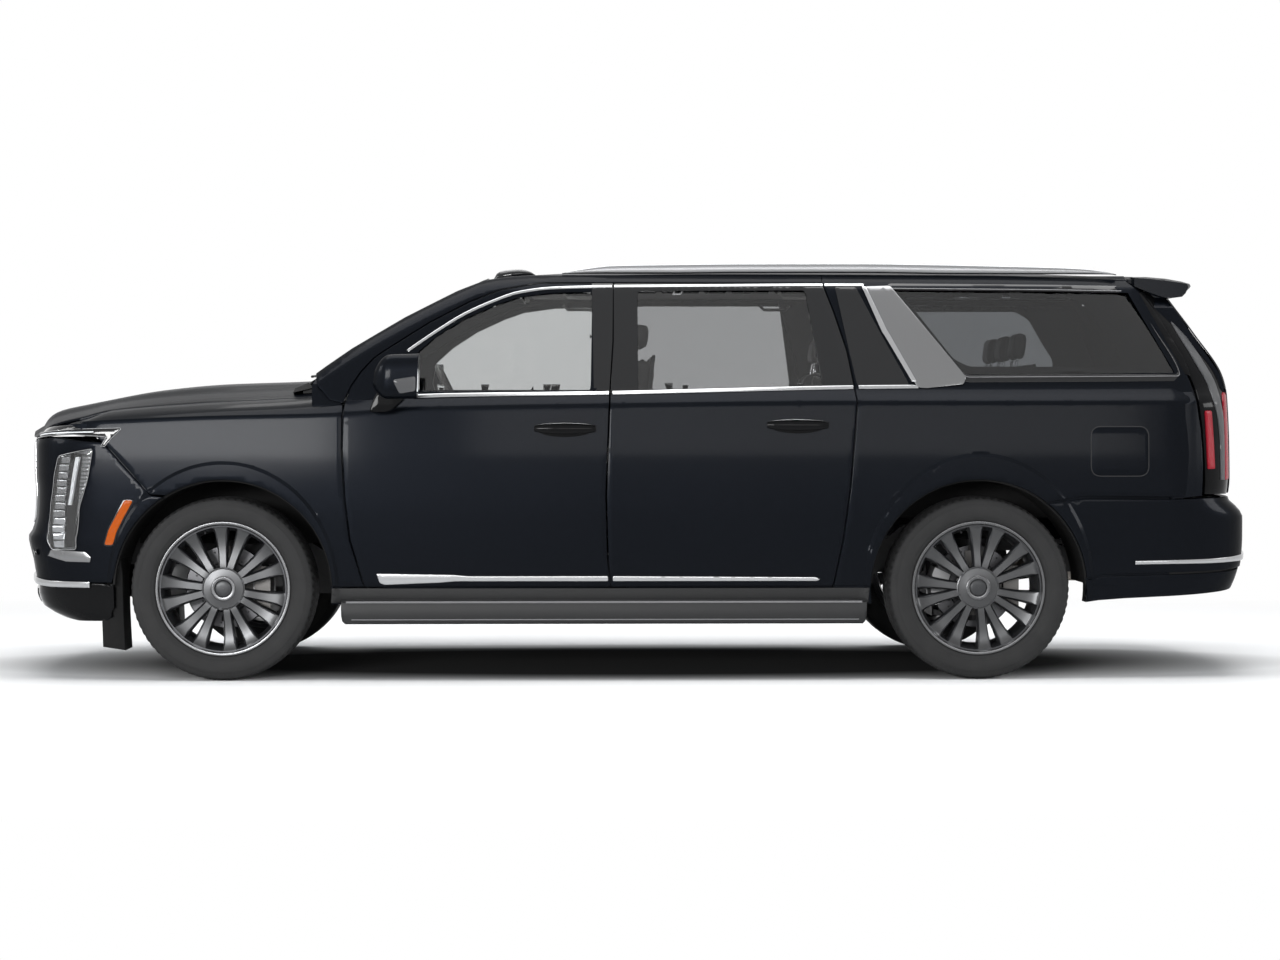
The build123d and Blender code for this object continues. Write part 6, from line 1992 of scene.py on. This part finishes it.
lining = Shape()
for y in (-0.40, 0.40):
    block(lining, (-0.665, y - 0.17, 1.770), (-0.520, y + 0.17, 1.786), HEADLINER, 0.008)
block(lining, (-0.50, -0.075, 1.762), (-0.33, 0.075, 1.792), CABIN_LIGHT, 0.010)
block(lining, (-0.790, -0.115, 1.655), (-0.768, 0.115, 1.715), GLOSS_BLACK, 0.010)
tube(lining, [(-0.772, 0, 1.705), (-0.74, 0, 1.745), (-0.70, 0, 1.775)], 0.008, CABIN, 8)
for x in (-0.35, 0.65, 1.45):
    for y in (-0.655, 0.655):
        tube(lining, [(x, y, 1.760), (x + 0.02, y * 0.965, 1.738), (x + 0.13, y * 0.965, 1.738),
                      (x + 0.15, y, 1.760)], 0.008, CABIN_LIGHT, 8)
make("headlining_fittings", "chassis", lining)
pedals = Shape()
for y, low in ((-0.30, 0.60), (-0.44, 0.66)):
    block(pedals, (-1.215, y - 0.030, low), (-1.200, y + 0.030, low + 0.10), RUBBER, 0.006)
    tube(pedals, [(-1.213, y, low + 0.08), (-1.25, y, 0.80), (-1.27, y, 0.93)], 0.008, FRAME_STEEL,
         8)
make("pedals", "chassis", pedals)

# ------------------------------ under the hood, cowl and brakes
bay = Shape()
block(bay, (-2.300, -0.250, 1.052), (-1.720, 0.250, 1.090), BLACK_GRAIN, 0.016)
for k in range(5):
    block(bay, (-2.26, -0.20 + 0.09 * k, 1.088), (-1.76, -0.16 + 0.09 * k, 1.097), BLACK_GRAIN,
          0.004)
make("engine_cover", "chassis", bay, (), "black_plastic")
bay = Shape()
block(bay, (-1.78, 0.36, 0.86), (-1.52, 0.56, 1.04), BLACK_GRAIN, 0.012)
block(bay, (-1.77, 0.37, 1.038), (-1.53, 0.55, 1.050), CABIN, 0.004)
for y in (0.41, 0.51):
    lathe(bay, [(0.0, 0.012), (0.018, 0.011), (0.018, 0.0006), (0.0, 0.0006)], (-1.60, y, 1.050),
          DISC_STEEL, 16, axis="z")
block(bay, (-2.10, 0.36, 0.90), (-1.84, 0.60, 1.06), BLACK_GRAIN, 0.02)
block(bay, (-1.78, -0.58, 0.90), (-1.58, -0.40, 1.04), CABIN_LIGHT, 0.03)
lathe(bay, [(0.0, 0.028), (0.022, 0.028), (0.024, 0.022), (0.024, 0.0006), (0.0, 0.0006)],
      (-1.68, -0.49, 1.04), BLACK_GRAIN, 24, axis="z")
block(bay, (-2.08, -0.60, 0.94), (-1.86, -0.36, 1.03), CAST_ALLOY, 0.012)
tube(bay, [(-1.95, 0.36, 1.00), (-1.95, 0.30, 1.035), (-1.99, 0.255, 1.060)], 0.030, RUBBER, 14)
tube(bay, [(-2.33, 0.18, 0.98), (-2.42, 0.20, 1.00), (-2.52, 0.24, 1.00)], 0.020, RUBBER, 12)
tube(bay, [(-2.33, -0.18, 0.90), (-2.42, -0.24, 0.86), (-2.52, -0.26, 0.80)], 0.020, RUBBER, 12)
block(bay, (-2.575, -0.46, 0.48), (-2.545, 0.46, 1.03), DISC_STEEL, 0.006)
block(bay, (-2.590, -0.48, 1.02), (-2.53, 0.48, 1.06), BLACK_GRAIN, 0.010)
for side in (-1, 1):
    plate(bay, lambda x, z, d: np.c_[x, side * (0.506 + d), z],
          np.array([(-2.32, 0.600), (-1.47, 0.600), (-1.47, 1.000), (-2.32, 0.985)]), (),
          (0.0, 0.005), LINER, grid=0.06, roll=0.001)
make("engine_bay_fittings", "chassis", bay, (), "black_plastic")

cowl = Shape()
ys = np.linspace(-0.70, 0.70, 29)
rings = []
for y in ys:
    back = float(screen_chart(np.array([y]), np.array([1.352]), 0.0)[0][0])
    rings.append([(back - 0.012, y, 1.345), (back - 0.075, y, 1.318), (back - 0.080, y, 1.300),
                  (back + 0.010, y, 1.322)])
loft(cowl, rings, BLACK_GRAIN)
for pivot, tip in ((-0.52, 0.05), (0.02, 0.56)):
    path = []
    for k in np.linspace(0, 1, 14):
        y = pivot + (tip - pivot) * k
        z = 1.362 + 0.022 * k
        spot = screen_chart(np.array([y]), np.array([z]), -0.016 + 0.004 * k)[0]
        path.append(spot)
    tube(cowl, path, 0.0062, BLACK_GRAIN, 8)
    tube(cowl, [p + (0.006, 0, -0.008) for p in path[6:]], 0.004, RUBBER, 6)
make("cowl_and_wipers", "chassis", cowl)

for axle, x, at in (("front", AXLE_FRONT, 0.165), ("rear", AXLE_REAR, -0.165)):
    caliper = Shape()
    rings = []
    for t in np.linspace(-26, 26, 12):
        turn = math.radians(t) + (0.0 if at > 0 else math.pi)
        c, s = math.cos(turn), math.sin(turn)
        rings.append([(r * c, y, r * s) for r, y in (
            (0.118, -0.030), (0.198, -0.036), (0.212, -0.020), (0.214, 0.020), (0.205, 0.038),
            (0.130, 0.040), (0.130, 0.004), (0.197, 0.002), (0.197, -0.004), (0.118, -0.006))])
    loft(caliper, rings, CAST_ALLOY)
    for side, sign in FLANK.items():
        placed = (caliper if side == "left" else caliper.mirrored()).moved(
            lambda p, sign=sign: p + np.array((x, -sign * (HALF_TRACK - 0.065), AXLE_HEIGHT)))
        make(f"brake_caliper_{axle}_{side}", f"knuckle_{side}" if axle == "front" else "chassis",
             placed, (), "cast_alloy", 40.0)


# ------------------------------ plain materials for the parts below and inside
def dress(finish, *nodes):
    """Gives CAD nodes that stay in view their finish."""
    for node in nodes:
        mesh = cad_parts[node].data
        mesh.materials.clear()
        mesh.materials.append(finish)


dress(FRAME_STEEL, "frame", "suspension_arms", "hitch_receiver")
dress(CAST_IRON, "rear_hub_carriers", "steering_knuckle_left", "steering_knuckle_right")
dress(CAST_ALLOY, "engine")
dress(DARK_CASTING, "driveline")
dress(EXHAUST_STEEL, "exhaust")
dress(BLACK_GRAIN, "bulkhead", "fuel_tank")
dress(LINER, "wheelhouse_liners")
dress(CARPET, "floor")

# ------------------------------ floor, light, camera
floor_mesh = bpy.data.meshes.new("studio_floor")
reach = 40.0
floor_mesh.from_pydata([(-reach, -reach, 0), (reach, -reach, 0), (reach, reach, 0),
                        (-reach, reach, 0)], [], [(0, 1, 2, 3)])
studio_floor = bpy.data.objects.new("studio_floor", floor_mesh)
bpy.context.scene.collection.objects.link(studio_floor)
floor_finish = Finish("studio_floor")
cloud = floor_finish.noise(0.6, 2.0)
spread = floor_finish.node("VectorMath", {"operation": "MULTIPLY"},
                           {0: floor_finish.place, 1: (0.62, 1.0, 1.0)})
far = floor_finish.node("VectorMath", {"operation": "LENGTH"}, {0: spread}, out="Value")
open_floor = floor_finish.ramp(far * 0.1, 0.26, 0.55)
# The floor's colour is darkened to 0.07 in an oval under the car and fades out towards its edge: a
# painted shadow.
spread_close = floor_finish.node("VectorMath", {"operation": "MULTIPLY"},
                                 {0: floor_finish.place, 1: (0.62, 1.9, 1.0)})
close = floor_finish.node("VectorMath", {"operation": "LENGTH"}, {0: spread_close}, out="Value")
painted_shadow_under_car = floor_finish.ramp(close * 0.1, 0.13, 0.205)
pale = floor_finish.blend(cloud, (0.80, 0.80, 0.80), (0.84, 0.84, 0.84))
floor_finish.set(Base_Color=floor_finish.blend(painted_shadow_under_car, (0.07, 0.07, 0.07), pale), Roughness=0.9,
                 Specular_IOR_Level=0.0)
path = {name: floor_finish.node("LightPath", out=name)
        for name in ("Is Camera Ray", "Is Glossy Ray", "Is Transmission Ray")}
seen = path["Is Camera Ray"] + path["Is Glossy Ray"] + path["Is Transmission Ray"]
glow = floor_finish.node("Emission", None, {"Color": (1.0, 1.0, 1.0), "Strength": 1.0})
mixed = floor_finish.node("MixShader", None, {0: open_floor * seen})
tree = floor_finish.tree
tree.links.new(floor_finish.shader.outputs[0], mixed.out.node.inputs[1])
tree.links.new(glow.out, mixed.out.node.inputs[2])
tree.links.new(mixed.out, tree.nodes["Material Output"].inputs[0])
floor_mesh.materials.append(floor_finish.material)


def studio_world():
    world = bpy.data.worlds.new("studio")
    bpy.context.scene.world = world
    world.use_nodes = True
    tree = world.node_tree
    tree.nodes.clear()
    path = tree.nodes.new("ShaderNodeLightPath")
    seen = tree.nodes.new("ShaderNodeMath")
    seen.operation = "ADD"
    seen.use_clamp = True
    both = tree.nodes.new("ShaderNodeMath")
    both.operation = "ADD"
    tree.links.new(path.outputs["Is Camera Ray"], both.inputs[0])
    tree.links.new(path.outputs["Is Transmission Ray"], both.inputs[1])
    tree.links.new(both.outputs[0], seen.inputs[0])
    tree.links.new(path.outputs["Is Glossy Ray"], seen.inputs[1])
    dim = tree.nodes.new("ShaderNodeBackground")
    dim.inputs["Color"].default_value = (0.90, 0.95, 1.0, 1)
    dim.inputs["Strength"].default_value = 0.40
    white = tree.nodes.new("ShaderNodeBackground")
    white.inputs["Color"].default_value = (1, 1, 1, 1)
    white.inputs["Strength"].default_value = 1.0
    mix = tree.nodes.new("ShaderNodeMixShader")
    out = tree.nodes.new("ShaderNodeOutputWorld")
    tree.links.new(seen.outputs[0], mix.inputs[0])
    tree.links.new(dim.outputs[0], mix.inputs[1])
    tree.links.new(white.outputs[0], mix.inputs[2])
    tree.links.new(mix.outputs[0], out.inputs["Surface"])


studio_world()


def panel_light(name, place, aim, size, power):
    data = bpy.data.lights.new(name, "AREA")
    data.shape = "RECTANGLE"
    data.size, data.size_y = size
    data.energy = power
    lamp_object = bpy.data.objects.new(name, data)
    bpy.context.scene.collection.objects.link(lamp_object)
    lamp_object.location = place
    lamp_object.rotation_euler = (Vector(aim) - Vector(place)).to_track_quat("-Z", "Y").to_euler()


panel_light("overhead", (0, -0.5, 6.0), (0, 0, 0), (8.0, 4.0), 520)
panel_light("front_quarter_key", (-5.6, -13.8, 2.35), (-1.0, 0, 1.0), (5.6, 1.8), 1150)
panel_light("side_fill", (2.0, -13.8, 2.45), (0.6, 0, 0.9), (7.0, 1.6), 210)
panel_light("far_side", (1.0, 6.5, 7.5), (0, 0, 0.9), (9.0, 2.0), 270)
panel_light("nose_side", (-9.0, -3.0, 3.6), (-2, 0, 0.9), (3.0, 2.0), 200)
panel_light("tail_side", (9.0, -3.0, 3.6), (2, 0, 0.9), (3.0, 2.0), 200)

SENSOR_WIDTH, LENS_LENGTH = 36.0, 76.966
CAMERA_PLACE = (-0.293, -13.3135, 1.132)
CAMERA_DOWN, CAMERA_TURN = 1.0684, -1.3605  # degrees
camera_data = bpy.data.cameras.new("side_camera")
camera_data.sensor_width = SENSOR_WIDTH
camera_data.lens = LENS_LENGTH
camera = bpy.data.objects.new("side_camera", camera_data)
bpy.context.scene.collection.objects.link(camera)
camera.location = CAMERA_PLACE
camera.rotation_euler = (math.radians(90 - CAMERA_DOWN), 0.0, math.radians(CAMERA_TURN))
bpy.context.scene.camera = camera
bpy.context.scene.view_settings.view_transform = "Standard"
